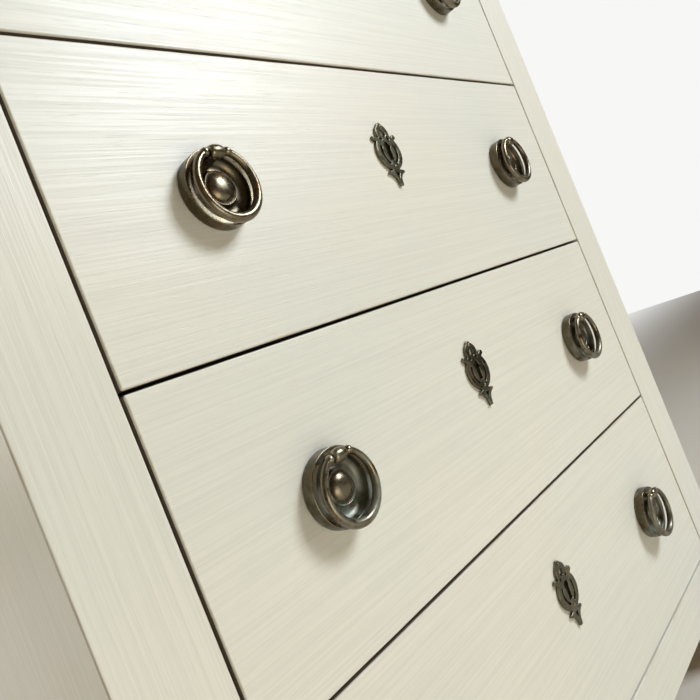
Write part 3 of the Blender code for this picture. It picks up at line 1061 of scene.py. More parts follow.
class SweptRodTree(NodeTree):
    """Sweeps a round section along a line whose points say how thick it is."""

    def __init__(self) -> None:
        """Build the tree."""
        super().__init__("rod swept along a line", {"Sides": "NodeSocketInt", "Finish": "NodeSocketMaterial"})
        line = self.add("GeometryNodeMeshToCurve", Mesh=self.given["Geometry"])
        section = self.add("GeometryNodeCurvePrimitiveCircle", Resolution=self.given["Sides"], Radius=1.0)
        thickness = self.add("GeometryNodeInputNamedAttribute", {"data_type": "FLOAT"}, Name="thickness")
        rod = self.add("GeometryNodeCurveToMesh", Curve=line.outputs[0], Profile_Curve=section.outputs[0],
                       Scale=thickness.outputs[0], Fill_Caps=True)
        smooth = self.add("GeometryNodeSetShadeSmooth", Geometry=rod.outputs[0])
        self.end(smooth.outputs[0])

    def sweep(self, line: Sequence[tuple[Vector, float]], sides: int, finish: object) -> bpy.types.Mesh:
        """Sweep a rod.

        Args:
            line: Points of the line, and the rod's radius at each.
            sides: Sides of its section.
            finish: The rod's finish.

        Returns:
            The closed rod.
        """
        base = bpy.data.meshes.new("line")
        base.from_pydata([tuple(point) for point, _ in line], [(i, i + 1) for i in range(len(line) - 1)], [])
        layer = base.attributes.new("thickness", "FLOAT", "POINT")
        layer.data.foreach_set("value", [radius for _, radius in line])
        swept = self.run(base, {"Sides": sides, "Finish": finish.material()})
        bm = bmesh.new()
        bm.from_mesh(swept)
        return shade(closed_mesh("rod", bm, 1e-6), 50)


# ---------------------------------------------------------------------------
# Small fittings
# ---------------------------------------------------------------------------


@dataclass
class Fasteners:
    """Screws, pins and nuts, each made once and set in rows by the fastener tree."""

    tree: FastenerTree

    def screw(self, radius: float = 3.4 * MM, crown: float = 0.7 * MM) -> bpy.types.Mesh:
        """A raised countersunk head with a cross recess.

        Args:
            radius: The head's radius.
            crown: The head's height.

        Returns:
            The head's mesh, its seat on the origin.
        """
        profile = [(0, -2 * crown), (radius * 0.7, -2 * crown), (radius, 0), (radius * 0.93, crown * 0.35),
                   (radius * 0.6, crown * 0.85), (0, crown)]
        head = turned("screw", profile, 20)
        arm, half = radius * 0.55, radius * 0.13
        for outline in ([(-arm, -half), (arm, -half), (arm, half), (-arm, half)],
                        [(-half, -arm), (half, -arm), (half, arm), (-half, arm)]):
            head = combined(head, prism("slot", outline, -crown * 0.6, crown * 2, Axis.Z), Cut.REMOVE)
        return shade(head)

    def pin(self, radius: float, height: float) -> bpy.types.Mesh:
        """A low round pin head."""
        turns = [math.radians(turn) for turn in (0, 22, 45, 68)]
        dome = [(radius * math.cos(turn), height * math.sin(turn)) for turn in turns]
        return shade(turned("pin", [(0, -0.3 * MM), (radius, -0.3 * MM), *dome, (0, height)], 14), 60)

    def nut(self, bore: float = 2.0 * MM, flat: float = 3.5 * MM, height: float = 3.2 * MM) -> bpy.types.Mesh:
        """A hexagon nut on a washer, threaded on its stud.

        Args:
            bore: The thread's radius.
            flat: Half the distance across flats.
            height: The nut's height.

        Returns:
            The nut's mesh, its seat on the origin.
        """
        corner = flat / math.cos(math.pi / 6)
        section = [(bore, 0), (5 * MM, 0), (5 * MM, 0.9 * MM), (bore, 0.9 * MM), (bore, 0)]
        washer = turned("washer", section, 32)
        block = prism("nut", circle((0, 0), corner, 6), 0.9 * MM, 0.9 * MM + height, Axis.Z)
        cone = [(0, 0.5 * MM), (corner * 1.04, 0.5 * MM), (corner * 1.04, height + 0.2 * MM),
                (flat * 0.94, height + 1.3 * MM), (0, height + 1.3 * MM)]
        block = intersected(block, turned("cone", cone, 32))
        hole = prism("hole", circle((0, 0), bore, 16), 0, 2 * height, Axis.Z)
        return joined("nut", [shade(washer), shade(combined(block, hole, Cut.REMOVE))])


def intersected(first: bpy.types.Mesh, second: bpy.types.Mesh) -> bpy.types.Mesh:
    """What two closed meshes share."""
    spare = combined(first, second, Cut.REMOVE)
    return combined(first, spare, Cut.REMOVE)


# ---------------------------------------------------------------------------
# The case
# ---------------------------------------------------------------------------


@dataclass
class Case:
    """Posts, panels, top, rails, apron and back of the chest."""

    fasteners: Fasteners
    body: str = "carcass"
    arris: float = 1.1 * MM
    top_arris: float = 2.2 * MM
    foot_height: float = 78 * MM
    foot_width: float = 34 * MM
    back_boards: int = 6
    joint_width: float = 1.6 * MM
    screw_inset: float = 14 * MM
    drawers: int = 4

    def painted(self, node: str, along: Axis, radius: float, **more: object) -> Piece:
        """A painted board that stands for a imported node.

        Args:
            node: The node.
            along: Which way the board runs.
            radius: Rounding of its arrises.
            more: Further fields of the board.

        Returns:
            The piece.
        """
        low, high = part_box(node)
        finish = PAINT_ACROSS if along is Axis.X else PAINT_UPRIGHT
        mesh = Board(low, high, along, radius, **more).mesh(node)
        return Piece(f"painted_{node}", mesh, finish, self.body, (node,), "cream_paint")

    def post(self, node: str) -> Piece:
        """A corner post whose foot tapers on its two inner faces.

        Args:
            node: The post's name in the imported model.

        Returns:
            The piece.
        """
        low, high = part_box(node)
        middle_y = (CAD_BOX[0].y + CAD_BOX[1].y) / 2

        def narrowed(place: float) -> tuple[float, float, float, float]:
            """The post's sides at a height: lowest and highest x, lowest and highest y.

            Args:
                place: Height on the post.

            Returns:
                The post's sides there: lowest and highest x, lowest and highest y.
            """
            taken = (high.x - low.x - self.foot_width) * max(0.0, 1 - (place - low.z) / self.foot_height)
            sides = [low.x, high.x, low.y, high.y]
            sides[1 if high.x < 0 else 0] += -taken if high.x < 0 else taken
            sides[3 if high.y < middle_y else 2] += -taken if high.y < middle_y else taken
            return tuple(sides)

        return self.painted(node, Axis.Z, self.arris, narrowed=narrowed, knees=(low.z + self.foot_height,))

    def back(self) -> list[Piece]:
        """The back: upright boards with V joints, and the screws that hold them.

        Returns:
            The boards and their screws.
        """
        low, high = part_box("back_panel")
        outline = [(low.x, low.y), (high.x, low.y)]
        groove = self.joint_width
        width = (high.x - low.x) / self.back_boards
        outline.append((high.x, high.y))
        for board in range(self.back_boards - 1, 0, -1):
            x = low.x + board * width
            outline += [(x + groove, high.y), (x + groove / 4, high.y - groove),
                        (x - groove / 4, high.y - groove),
                        (x - groove, high.y)]
        outline.append((low.x, high.y))
        mesh = eased(prism("back", outline, low.z, high.z, Axis.Z), 0.25 * MM, 1, 20)
        boards = Piece("back_boards", mesh, BACK_UPRIGHT, self.body, ("back_panel",), "runner_wood")
        levels = [low.z + self.screw_inset, (low.z + high.z) / 2, high.z - self.screw_inset]
        places = [(Vector((low.x + (board + share) * width, high.y, level)), Vector((0, 1, 0)))
                  for level in levels for board in range(self.back_boards) for share in (0.28, 0.72)]
        screws = self.fasteners.tree.set_heads(self.fasteners.screw(), places, 5, STEEL)
        return [boards, Piece("back_screws", screws, STEEL, self.body)]

    def pieces(self) -> list[Piece]:
        """Every piece of the case.

        Returns:
            The pieces, the top first.
        """
        made = [self.painted("top_board", Axis.X, self.top_arris),
                self.painted("front_apron", Axis.X, self.arris)]
        made += [self.painted(rail, Axis.X, 0.6 * MM) for rail in
                 ("top_rail", "divider_rail_1", "divider_rail_2", "divider_rail_3", "bottom_rail")]
        for side in Hand:
            made.append(self.painted(f"side_panel_{side.word}", Axis.Z, 0.6 * MM))
            made += [self.post(f"post_{end}_{side.word}") for end in ("front", "rear")]
        made += self.back()
        return made

    def build(self) -> None:
        """Place the pieces, and dress the hidden frames that stay as they are."""
        for piece in self.pieces():
            piece.place()
        for number in range(1, self.drawers + 1):
            dress_node(f"runner_frame_{number}", RUNNER_DEEP)
        dress_node("bottom_board", RUNNER_DEEP)


# ---------------------------------------------------------------------------
# Drawers
# ---------------------------------------------------------------------------


@dataclass
class Keyhole:
    """A round eye over a straight slot, measured from the middle of the drawer front."""

    centre: float = 22.5 * MM
    radius: float = 3.1 * MM
    slot: float = 2.2 * MM
    end: float = 12.0 * MM

    def outline(self, margin: float, steps: int = 20) -> Outline:
        """The keyhole's outline in x and z.

        Args:
            margin: How much bigger it is all round.
            steps: Steps round the eye.

        Returns:
            The points.
        """
        radius, slot = self.radius + margin, self.slot + margin
        corner = math.degrees(math.asin(slot / radius))
        eye = arc((0, self.centre), radius, corner - 90, 270 - corner, steps)
        return eye + [(-slot, self.end - margin), (slot, self.end - margin)]


@dataclass
class Dovetails:
    """A row of tails up the end of a drawer side."""

    low: float
    high: float
    length: float
    count: int = 4
    slope: float = math.radians(9)
    pin: float = 7.0 * MM
    half_pin: float = 5.0 * MM

    def tails(self, spare: float = 0.0) -> list[tuple[float, float, float, float]]:
        """The tails' heights.

        Args:
            spare: How much bigger the socket is all round.

        Returns:
            For each tail: lowest and highest at its root, then lowest and highest at its tip.
        """
        flare = self.length * math.tan(self.slope)
        width = (self.high - self.low - 2 * self.half_pin - (self.count - 1) * self.pin) / self.count
        rows = []
        for index in range(self.count):
            root = self.low + self.half_pin + index * (width + self.pin)
            rows.append((root - spare, root + width + spare, root - flare - spare,
                         root + width + flare + spare))
        return rows


@dataclass
class Drawer:
    """One drawer: painted front, dovetailed box, and the nuts that hold its pulls."""

    number: int
    fasteners: Fasteners
    keyhole: Keyhole
    arris: float = 1.0 * MM
    keyhole_depth: float = 12 * MM
    keyhole_margin: float = 0.3 * MM
    stud_hole: float = 2.3 * MM
    tail_length: float = 12 * MM
    joint_gap: float = 0.12 * MM
    groove_depth: float = 5 * MM
    groove_spare: float = 0.3 * MM
    # Share of the dark colour on a front's hidden faces: unpainted wood, and painted shade in the gaps, the
    # keyhole and behind the plate's slots.
    bareness: float = 0.9
    # Shallow recesses under the keyhole plate, as height and radius; their faces take the dark colour, a
    # painted shade behind the plate's slots.
    recesses: tuple[Point, ...] = ((18.0 * MM, 12.4 * MM), (0.9 * MM, 3.0 * MM))
    recess_depth: float = 0.25 * MM
    nail_shares: tuple[float, ...] = (0.08, 0.29, 0.5, 0.71, 0.92)

    def __post_init__(self) -> None:
        """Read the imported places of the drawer."""
        self.body = f"drawer_{self.number}"
        self.front_low, self.front_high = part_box(f"{self.body}_front")
        self.side_low, self.side_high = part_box(f"{self.body}_side_right")
        self.back_low, self.back_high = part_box(f"{self.body}_back")
        self.floor_low, self.floor_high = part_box(f"{self.body}_bottom")
        self.middle = (self.front_low.z + self.front_high.z) / 2
        self.front_tails = Dovetails(self.side_low.z, self.side_high.z, self.tail_length)
        self.rear_tails = Dovetails(self.back_low.z - self.groove_spare, self.side_high.z,
                                    self.back_high.y - self.back_low.y)

    def sockets(self) -> bpy.types.Mesh:
        """What the front loses to the tails of both sides.

        Returns:
            The cutters, as one mesh.
        """
        back = self.front_high.y
        cutters = []
        for low, high, tip_low, tip_high in self.front_tails.tails(self.joint_gap):
            outline = [(back + 1 * MM, low), (back + 1 * MM, high), (back, high),
                       (back - self.tail_length, tip_high),
                       (back - self.tail_length, tip_low), (back, low)]
            for side in Hand:
                ends = sorted((side.value * (self.side_low.x - self.joint_gap),
                               side.value * (self.front_high.x + 1 * MM)))
                cutters.append(prism("socket", outline, *ends, Axis.X))
        return joined("sockets", cutters)

    def front(self, pulls: Sequence[Vector]) -> Piece:
        """The painted front with its keyhole, stud holes, floor groove and sockets.

        Args:
            pulls: Middle of each pull, on the face of the front.

        Returns:
            The piece.
        """
        face, back = self.front_low.y, self.front_high.y
        mesh = Board(self.front_low, self.front_high, Axis.X, self.arris, pitch=9 * MM).mesh("front")
        keyhole = [(x, z + self.middle) for x, z in self.keyhole.outline(self.keyhole_margin)]
        cutters = [prism("keyhole", keyhole, face - 1 * MM, face + self.keyhole_depth, Axis.Y)]
        outlines = [circle((0, self.middle + height), radius, 48) for height, radius in self.recesses]
        floor_y = face + self.recess_depth
        recesses = [prism("recess", outline, face - 1 * MM, floor_y, Axis.Y) for outline in outlines]
        mesh = combined(mesh, joined("recesses", recesses), Cut.REMOVE)
        bores = [circle((pull.x, pull.z), self.stud_hole, 20) for pull in pulls]
        cutters += [prism("hole", bore, face - 1 * MM, back + 1 * MM, Axis.Y) for bore in bores]
        mesh = combined(mesh, joined("holes", cutters), Cut.REMOVE)
        mesh = combined(mesh, self.sockets(), Cut.REMOVE)
        reach = self.side_low.x + self.groove_depth
        floor = [(back - self.groove_depth, self.floor_low.z - self.groove_spare),
                 (back + 1 * MM, self.floor_low.z - self.groove_spare),
                 (back + 1 * MM, self.floor_high.z + self.groove_spare),
                 (back - self.groove_depth, self.floor_high.z + self.groove_spare)]
        mesh = combined(mesh, prism("groove", floor, -reach, reach, Axis.X), Cut.REMOVE)
        self.bare_edges(mesh)
        name = f"{self.body}_front"
        return Piece(f"painted_{name}", shade(mesh, 40), PAINT_ACROSS, self.body, (name,), "cream_paint")

    def bare_edges(self, mesh: bpy.types.Mesh) -> None:
        """Mark a front's edges, holes, sockets and recesses in the attribute "bare": unpainted wood, whose
        dark colour also stands as painted shade in the gaps, the keyhole and behind the plate's slots.

        Args:
            mesh: The front.
        """
        thickness = self.front_high.y - self.front_low.y
        bare = []
        for face in mesh.polygons:
            depth = face.center.y - self.front_low.y
            under_plate = abs(face.center.x) < 2 * self.arris + self.recesses[0][1] and depth > 0.01 * MM
            inside = self.arris < depth < thickness - 0.01 * MM
            low, high = self.front_low.z + 2 * self.arris, self.front_high.z - 2 * self.arris
            # Faces inside the front, and in the recess under the plate, take the dark colour: bare wood, and
            # painted shade.
            occluded = inside or (under_plate and depth < self.arris and low < face.center.z < high)
            bare.append(self.bareness if occluded else 0.0)
        mesh.attributes.new("bare", "FLOAT", "FACE").data.foreach_set("value", bare)

    def side_outline(self) -> Outline:
        """A side in y and z: tails into the front, tails through the back.

        Returns:
            The outline in y and z.
        """
        near, far, root = self.front_high.y + self.joint_gap, self.side_high.y, self.back_low.y
        outline = [(near, self.side_low.z), (far, self.side_low.z), (far, self.rear_tails.low),
                   (root, self.rear_tails.low)]
        for low, high, tip_low, tip_high in self.rear_tails.tails():
            outline += [(root, low), (far, tip_low), (far, tip_high), (root, high)]
        outline += [(root, self.side_high.z), (near, self.side_high.z)]
        tip = self.front_high.y - self.tail_length + self.joint_gap
        for low, high, tip_low, tip_high in reversed(self.front_tails.tails()):
            outline += [(near, high), (tip, tip_high), (tip, tip_low), (near, low)]
        return outline

    def side(self, side: Hand) -> Piece:
        """A dovetailed side with its floor groove.

        Args:
            side: Which side.

        Returns:
            The piece.
        """
        ends = sorted((side.value * self.side_low.x, side.value * self.side_high.x))
        mesh = prism("side", self.side_outline(), *ends, Axis.X)
        inner = side.value * self.side_low.x
        across = sorted((inner - side.value * 1 * MM, inner + side.value * self.groove_depth))
        below, above = self.floor_low.z - self.groove_spare, self.floor_high.z + self.groove_spare
        channel = [(across[0], below), (across[1], below), (across[1], above), (across[0], above)]
        groove = prism("groove", channel, self.front_low.y, self.side_high.y + 1 * MM, Axis.Y)
        mesh = combined(mesh, groove, Cut.REMOVE)
        name = f"{self.body}_side_{side.word}"
        finished = eased(mesh, 0.35 * MM)
        return Piece(f"lined_{name}", finished, LINING_DEEP, self.body, (name,), "drawer_lining")

    def back(self) -> Piece:
        """The back, whose pins come through both sides.

        Returns:
            The piece.
        """
        low, high = self.back_low.copy(), self.back_high.copy()
        outline = [(low.x, low.z), (high.x, low.z), (high.x, high.z), (low.x, high.z)]
        mesh = prism("back", outline, low.y, high.y, Axis.Y)
        tails = self.rear_tails.tails(self.joint_gap)
        edges = [(low.z, low.z)] + [(tail[1], tail[3]) for tail in tails]
        tops = [(tail[0], tail[2]) for tail in tails] + [(high.z, high.z)]
        for (low_root, low_tip), (high_root, high_tip) in zip(edges, tops):
            outline = [(low.y, low_root), (high.y, low_tip), (high.y, high_tip), (low.y, high_root)]
            for side in Hand:
                ends = sorted((side.value * (high.x - 1 * MM), side.value * self.side_high.x))
                mesh = combined(mesh, prism("pin", outline, *ends, Axis.X), Cut.JOIN)
        name = f"{self.body}_back"
        finished = eased(mesh, 0.3 * MM)
        return Piece(f"lined_{name}", finished, LINING_ACROSS, self.body, (name,), "drawer_lining")

    def floor(self) -> Piece:
        """The floor panel, let into its grooves.

        Returns:
            The piece.
        """
        name = f"{self.body}_bottom"
        mesh = Board(self.floor_low, self.floor_high, Axis.X, 0.5 * MM, pitch=60 * MM).mesh(name)
        return Piece(f"lined_{name}", mesh, LINING_ACROSS, self.body, (name,), "drawer_lining")

    def hardware(self, pulls: Sequence[Vector]) -> list[Piece]:
        """Nuts behind the pulls, and nails through the floor into the back.

        Args:
            pulls: Middle of each pull, on the face of the front.

        Returns:
            The nuts and the nails.
        """
        tree = self.fasteners.tree
        nuts = [(Vector((pull.x, self.front_high.y, pull.z)), Vector((0, 1, 0))) for pull in pulls]
        nut_mesh = tree.set_heads(self.fasteners.nut(), nuts, self.number, STEEL)
        span = self.back_high.x - self.back_low.x
        middle_y = (self.back_low.y + self.back_high.y) / 2
        nails = [(Vector((self.back_low.x + span * share, middle_y, self.floor_low.z)), Vector((0, 0, -1)))
                 for share in self.nail_shares]
        nail_mesh = tree.set_heads(self.fasteners.pin(1.8 * MM, 0.35 * MM), nails, self.number, STEEL)
        return [Piece(f"{self.body}_nuts", nut_mesh, STEEL, self.body),
                Piece(f"{self.body}_floor_nails", nail_mesh, STEEL, self.body)]

    def build(self, pulls: Sequence[Vector]) -> None:
        """Place every piece of the drawer.

        Args:
            pulls: Middle of each pull, on the face of the front.
        """
        made = [self.front(pulls), self.side(Hand.LEFT), self.side(Hand.RIGHT), self.back(), self.floor()]
        for piece in made + self.hardware(pulls):
            piece.place()


# ---------------------------------------------------------------------------
# Brass fittings
# ---------------------------------------------------------------------------


@dataclass
class Weathering:
    """Marks each point of a brass casting with how hidden and how rubbed it is; how hidden places patina,
    grime and painted shade.
    """

    reach: float = 9 * MM
    lift: float = 0.05 * MM
    rings: int = 3
    spokes: int = 8
    smoothing: int = 2

    def rays(self) -> list[Vector]:
        """Directions spread over the half sphere about +Z.

        Returns:
            Unit vectors.
        """
        found = []
        for ring in range(self.rings):
            tilt = math.radians(90) * (ring + 0.6) / (self.rings + 0.4)
            for spoke in range(self.spokes):
                turn = math.tau * (spoke + 0.5 * (ring % 2)) / self.spokes
                level = math.sin(tilt)
                found.append(Vector((level * math.cos(turn), level * math.sin(turn), math.cos(tilt))))
        return found

    def mark(self, mesh: bpy.types.Mesh) -> bpy.types.Mesh:
        """Store the attributes "hollow" and "rub", each 0 to 1.

        Args:
            mesh: The casting.

        Returns:
            The same mesh.
        """
        bm = bmesh.new()
        bm.from_mesh(mesh)
        bm.normal_update()
        tree = BVHTree.FromBMesh(bm)
        rays = self.rays()
        hollow, rub = [], []
        for vert in bm.verts:
            frame_of_point = vert.normal.to_track_quat("Z", "Y")
            start = vert.co + vert.normal * self.lift
            blocked = sum(1 for ray in rays if tree.ray_cast(start, frame_of_point @ ray, self.reach)[0])
            hollow.append(blocked / len(rays))
            ways = [(edge.other_vert(vert).co - vert.co).normalized() for edge in vert.link_edges]
            bends = [-vert.normal.dot(way) for way in ways]
            rub.append(min(1.0, max(0.0, (sum(bends) / max(1, len(bends)) - 0.02) * 5.0)))
        near = [[edge.other_vert(vert).index for edge in vert.link_edges] for vert in bm.verts]
        for _ in range(self.smoothing):
            hollow = self.smoothed(hollow, near)
            rub = self.smoothed(rub, near)
        bm.free()
        for name, values in (("hollow", hollow), ("rub", rub)):
            mesh.attributes.new(name, "FLOAT", "POINT").data.foreach_set("value", values)
        return mesh

    def smoothed(self, values: list[float], near: list[list[int]]) -> list[float]:
        """Each value averaged with those of its neighbours."""
        return [(value + sum(values[i] for i in around) / max(1, len(around))) / 2
                for value, around in zip(values, near)]


def tarnished(mesh: bpy.types.Mesh, amount: float, bare: float = 0.0) -> bpy.types.Mesh:
    """Store how much verdigris a fitting has in the attribute "verdigris", most on its lower half.

    Args:
        mesh: The fitting, with its middle at the origin.
        amount: How green it is, 0 to 1.
        bare: Radius about the Y axis within which handling has kept the fitting almost clean.

    Returns:
        A copy of the mesh with the attribute.
    """
    marked = mesh.copy()
    greens = []
    for vert in marked.vertices:
        low = min(1.0, max(0.0, 0.5 - vert.co.z / (20 * MM)))
        handled = 0.15 if math.hypot(vert.co.x, vert.co.z) < bare else 1.0
        greens.append(amount * handled * (0.35 + 0.65 * low))
    marked.attributes.new("verdigris", "FLOAT", "POINT").data.foreach_set("value", greens)
    return marked


@dataclass
class KeyholePlate:
    """The pierced plate over the keyhole, cast with soft edges and held by two pins.

    Sizes are measured from the middle of the drawer front.
    """

    keyhole: Keyhole
    fasteners: Fasteners
    weathering: Weathering
    thickness: float = 2.0 * MM
    gap: float = 0.3 * MM
    edge: float = 0.42 * MM
    softness: int = 2
    spacing: float = 0.22 * MM
    grid: float = 1.3 * MM
    body_z: float = 18.0 * MM
    body_radius: float = 13.5 * MM
    loop_z: float = 32.0 * MM
    loop_radius: float = 7.2 * MM
    loop_hole: float = 2.6 * MM
    finial_z: float = 37.8 * MM
    finial_radius: float = 2.7 * MM
    ear_root: Point = (8.5 * MM, 27.4 * MM)
    ear_tip: Point = (11.4 * MM, 29.2 * MM)
    ear_radius: float = 1.9 * MM
    waist: Point = (4.0 * MM, 4.8 * MM)
    shoulder: Point = (9.0 * MM, 3.7 * MM)
    hollow: Point = (9.4 * MM, -5.6 * MM)
    hollow_radius: float = 7.5 * MM
    tail_tip: Point = (1.5 * MM, -7.6 * MM)
    eye: Point = (4.2 * MM, 28.3 * MM)
    eye_radius: float = 1.2 * MM
    slot_centre: Point = (2.5 * MM, 18.5 * MM)
    slot_radius: float = 10.5 * MM
    slot_half: float = 0.9 * MM
    slot_arc: Point = (154, 237)
    tail_hole: tuple[Point, ...] = ((-2.4 * MM, 2.6 * MM), (2.4 * MM, 2.6 * MM), (0.0, -1.6 * MM))
    pin_heights: Point = (37.6 * MM, 7.2 * MM)

    def ear(self, side: Hand) -> Outline:
        """A short bar with a round lobe at its outer end.

        Args:
            side: Which side.

        Returns:
            The outline in x and z.
        """
        run = (self.ear_tip[0] - self.ear_root[0], self.ear_tip[1] - self.ear_root[1])
        rise = math.degrees(math.atan2(run[1], run[0]))
        lobe = arc(self.ear_tip, self.ear_radius, rise - 110, rise + 110, 16)
        root = arc(self.ear_root, self.ear_radius * 0.8, rise + 90, rise + 270, 6)
        return [(side.value * x, z) for x, z in lobe + root]

    def tail(self) -> Outline:
        """The waist, pointed shoulders and hollowed tail.

        Returns:
            The outline in x and z.
        """
        hollow = arc(self.hollow, self.hollow_radius, 95, 175, 14)
        half = [(self.waist[0], self.waist[1] + 3 * MM), self.waist, self.shoulder] + hollow + [self.tail_tip]
        return half + mirrored(half)

    def slot(self, side: Hand) -> Outline:
        """A curved slot beside the keyhole, with round ends.

        Args:
            side: Which side.

        Returns:
            The outline in x and z.
        """
        start, end = self.slot_arc
        outer = arc(self.slot_centre, self.slot_radius + self.slot_half, start, end, 24)
        inner = arc(self.slot_centre, self.slot_radius - self.slot_half, end, start, 24)
        return [(side.value * x, z) for x, z in outer + inner]

    def slab(self) -> bpy.types.Mesh:
        """The plate with square edges.

        Returns:
            The mesh, its middle plane at y = 0.
        """
        half = self.thickness / 2

        def sheet(outline: Outline, spare: float = 0.0) -> bpy.types.Mesh:
            """An outline as thick as the plate, or a little thicker."""
            return prism("sheet", outline, -half - spare, half + spare, Axis.Y)

        plate = sheet(circle((0, self.body_z), self.body_radius, 72))
        solids = [circle((0, self.loop_z), self.loop_radius, 48),
                  circle((0, self.finial_z), self.finial_radius, 28),
                  self.ear(Hand.LEFT), self.ear(Hand.RIGHT), self.tail()]
        for outline in solids:
            plate = combined(plate, sheet(outline), Cut.JOIN)
        holes = [self.keyhole.outline(0), circle((0, self.loop_z), self.loop_hole, 24), self.slot(Hand.LEFT),
                 self.slot(Hand.RIGHT), list(self.tail_hole)]
        holes += [circle((side.value * self.eye[0], self.eye[1]), self.eye_radius, 16) for side in Hand]
        return combined(plate, joined("holes", [sheet(outline, 1 * MM) for outline in holes]), Cut.REMOVE)

    def rims(self, slab: bpy.types.Mesh) -> list[Outline]:
        """The outlines of the slab's front face, evenly stepped and softened.

        Args:
            slab: The square-edged plate.

        Returns:
            One closed outline for the outside and one for each hole.
        """
        bm = bmesh.new()
        bm.from_mesh(slab)
        bmesh.ops.remove_doubles(bm, verts=bm.verts, dist=0.01 * MM)
        bm.normal_update()
        follows: dict[int, list[int]] = {}
        for edge in bm.edges:
            if sum(1 for face in edge.link_faces if face.normal.y < -0.9) == 1:
                first, second = (vert.index for vert in edge.verts)
                follows.setdefault(first, []).append(second)
                follows.setdefault(second, []).append(first)
        places = [(vert.co.x, vert.co.z) for vert in bm.verts]
        bm.free()
        rims, seen = [], set()
        for start in follows:
            if start in seen:
                continue
            chain = [start]
            seen.add(start)
            while True:
                ahead = [index for index in follows[chain[-1]] if index not in seen]
                if not ahead:
                    break
                chain.append(ahead[0])
                seen.add(ahead[0])
            rims.append(self.softened([places[index] for index in chain]))
        return rims

    def softened(self, outline: Outline) -> Outline:
        """Step an outline evenly and round its corners a little.

        Args:
            outline: A closed outline.

        Returns:
            The softened outline, turning the way its kind needs.
        """
        points = np.array(outline + outline[:1])
        lengths = np.concatenate(([0.0], np.cumsum(np.linalg.norm(np.diff(points, axis=0), axis=1))))
        count = max(12, round(lengths[-1] / self.spacing))
        steps = np.linspace(0, lengths[-1], count, endpoint=False)
        even = np.stack([np.interp(steps, lengths, points[:, axis]) for axis in (0, 1)], axis=1)
        for _ in range(self.softness):
            even = (even + (np.roll(even, 1, axis=0) + np.roll(even, -1, axis=0)) / 2) / 2
        first, second = even[:, 0], even[:, 1]
        area = float(np.sum(first * np.roll(second, -1) - np.roll(first, -1) * second))
        big = lengths[-1] > 4 * self.body_radius
        if (area > 0) != big:
            even = even[::-1]
        return [tuple(point) for point in even]

    def mesh(self) -> bpy.types.Mesh:
        """The plate with rounded edges, about y = 0.

        Returns:
            The mesh, with its weathering marked.
        """
        curve = bpy.data.curves.new("plate", "CURVE")
        curve.dimensions = "2D"
        curve.fill_mode = "BOTH"
        curve.bevel_depth = self.edge
        curve.bevel_resolution = 2
        curve.extrude = self.thickness / 2 - self.edge
        curve.offset = -self.edge
        for outline in self.rims(self.slab()):
            spline = curve.splines.new("POLY")
            spline.points.add(len(outline) - 1)
            for point, (x, z) in zip(spline.points, outline):
                point.co = (x, z, 0, 1)
            spline.use_cyclic_u = True
        carrier = bpy.data.objects.new("plate", curve)
        bpy.context.scene.collection.objects.link(carrier)
        flat = evaluated(carrier)
        bpy.data.objects.remove(carrier)
        bm = bmesh.new()
        bm.from_mesh(flat)
        bm.transform(Matrix.Rotation(math.pi / 2, 4, "X"))
        for axis in (Axis.X, Axis.Z):
            normal = [1.0 if index == axis.value else 0.0 for index in range(3)]
            places = [vert.co[axis.value] for vert in bm.verts]
            for step in range(math.ceil(min(places) / self.grid), math.floor(max(places) / self.grid) + 1):
                whole = bm.verts[:] + bm.edges[:] + bm.faces[:]
                cut = [step * self.grid * part for part in normal]
                bmesh.ops.bisect_plane(bm, geom=whole, dist=1e-6, plane_co=cut, plane_no=normal)
        return self.weathering.mark(shade(closed_mesh("plate", bm, 1e-6), 35))

    def build(self, drawers: Iterable[Drawer]) -> None:
        """Place a plate and its pins on each drawer.

        Args:
            drawers: The drawers.
        """
        template = self.mesh()
        pin = self.fasteners.pin(1.25 * MM, 0.75 * MM)
        for drawer in drawers:
            face = drawer.front_low.y
            place = Matrix.Translation((0, face - self.gap - self.thickness / 2, drawer.middle))
            mesh = moved(tarnished(template, 0.45 + 0.1 * (drawer.number % 2)), place)
            node = f"keyhole_plate_{drawer.number}"
            Piece(f"pierced_{node}", mesh, PLATE_BRASS, drawer.body, (node,), "dark_brass").place()
            top = face - self.gap - self.thickness
            forward = Vector((0, -1, 0))
            places = [(Vector((0, top, drawer.middle + height)), forward) for height in self.pin_heights]
            pins = self.fasteners.tree.set_heads(pin, places, drawer.number, PLATE_BRASS)
            pins = tarnished(self.weathering.mark(pins), 0.1)
            Piece(f"{drawer.body}_plate_pins", pins, PLATE_BRASS, drawer.body, (), "dark_brass").place()


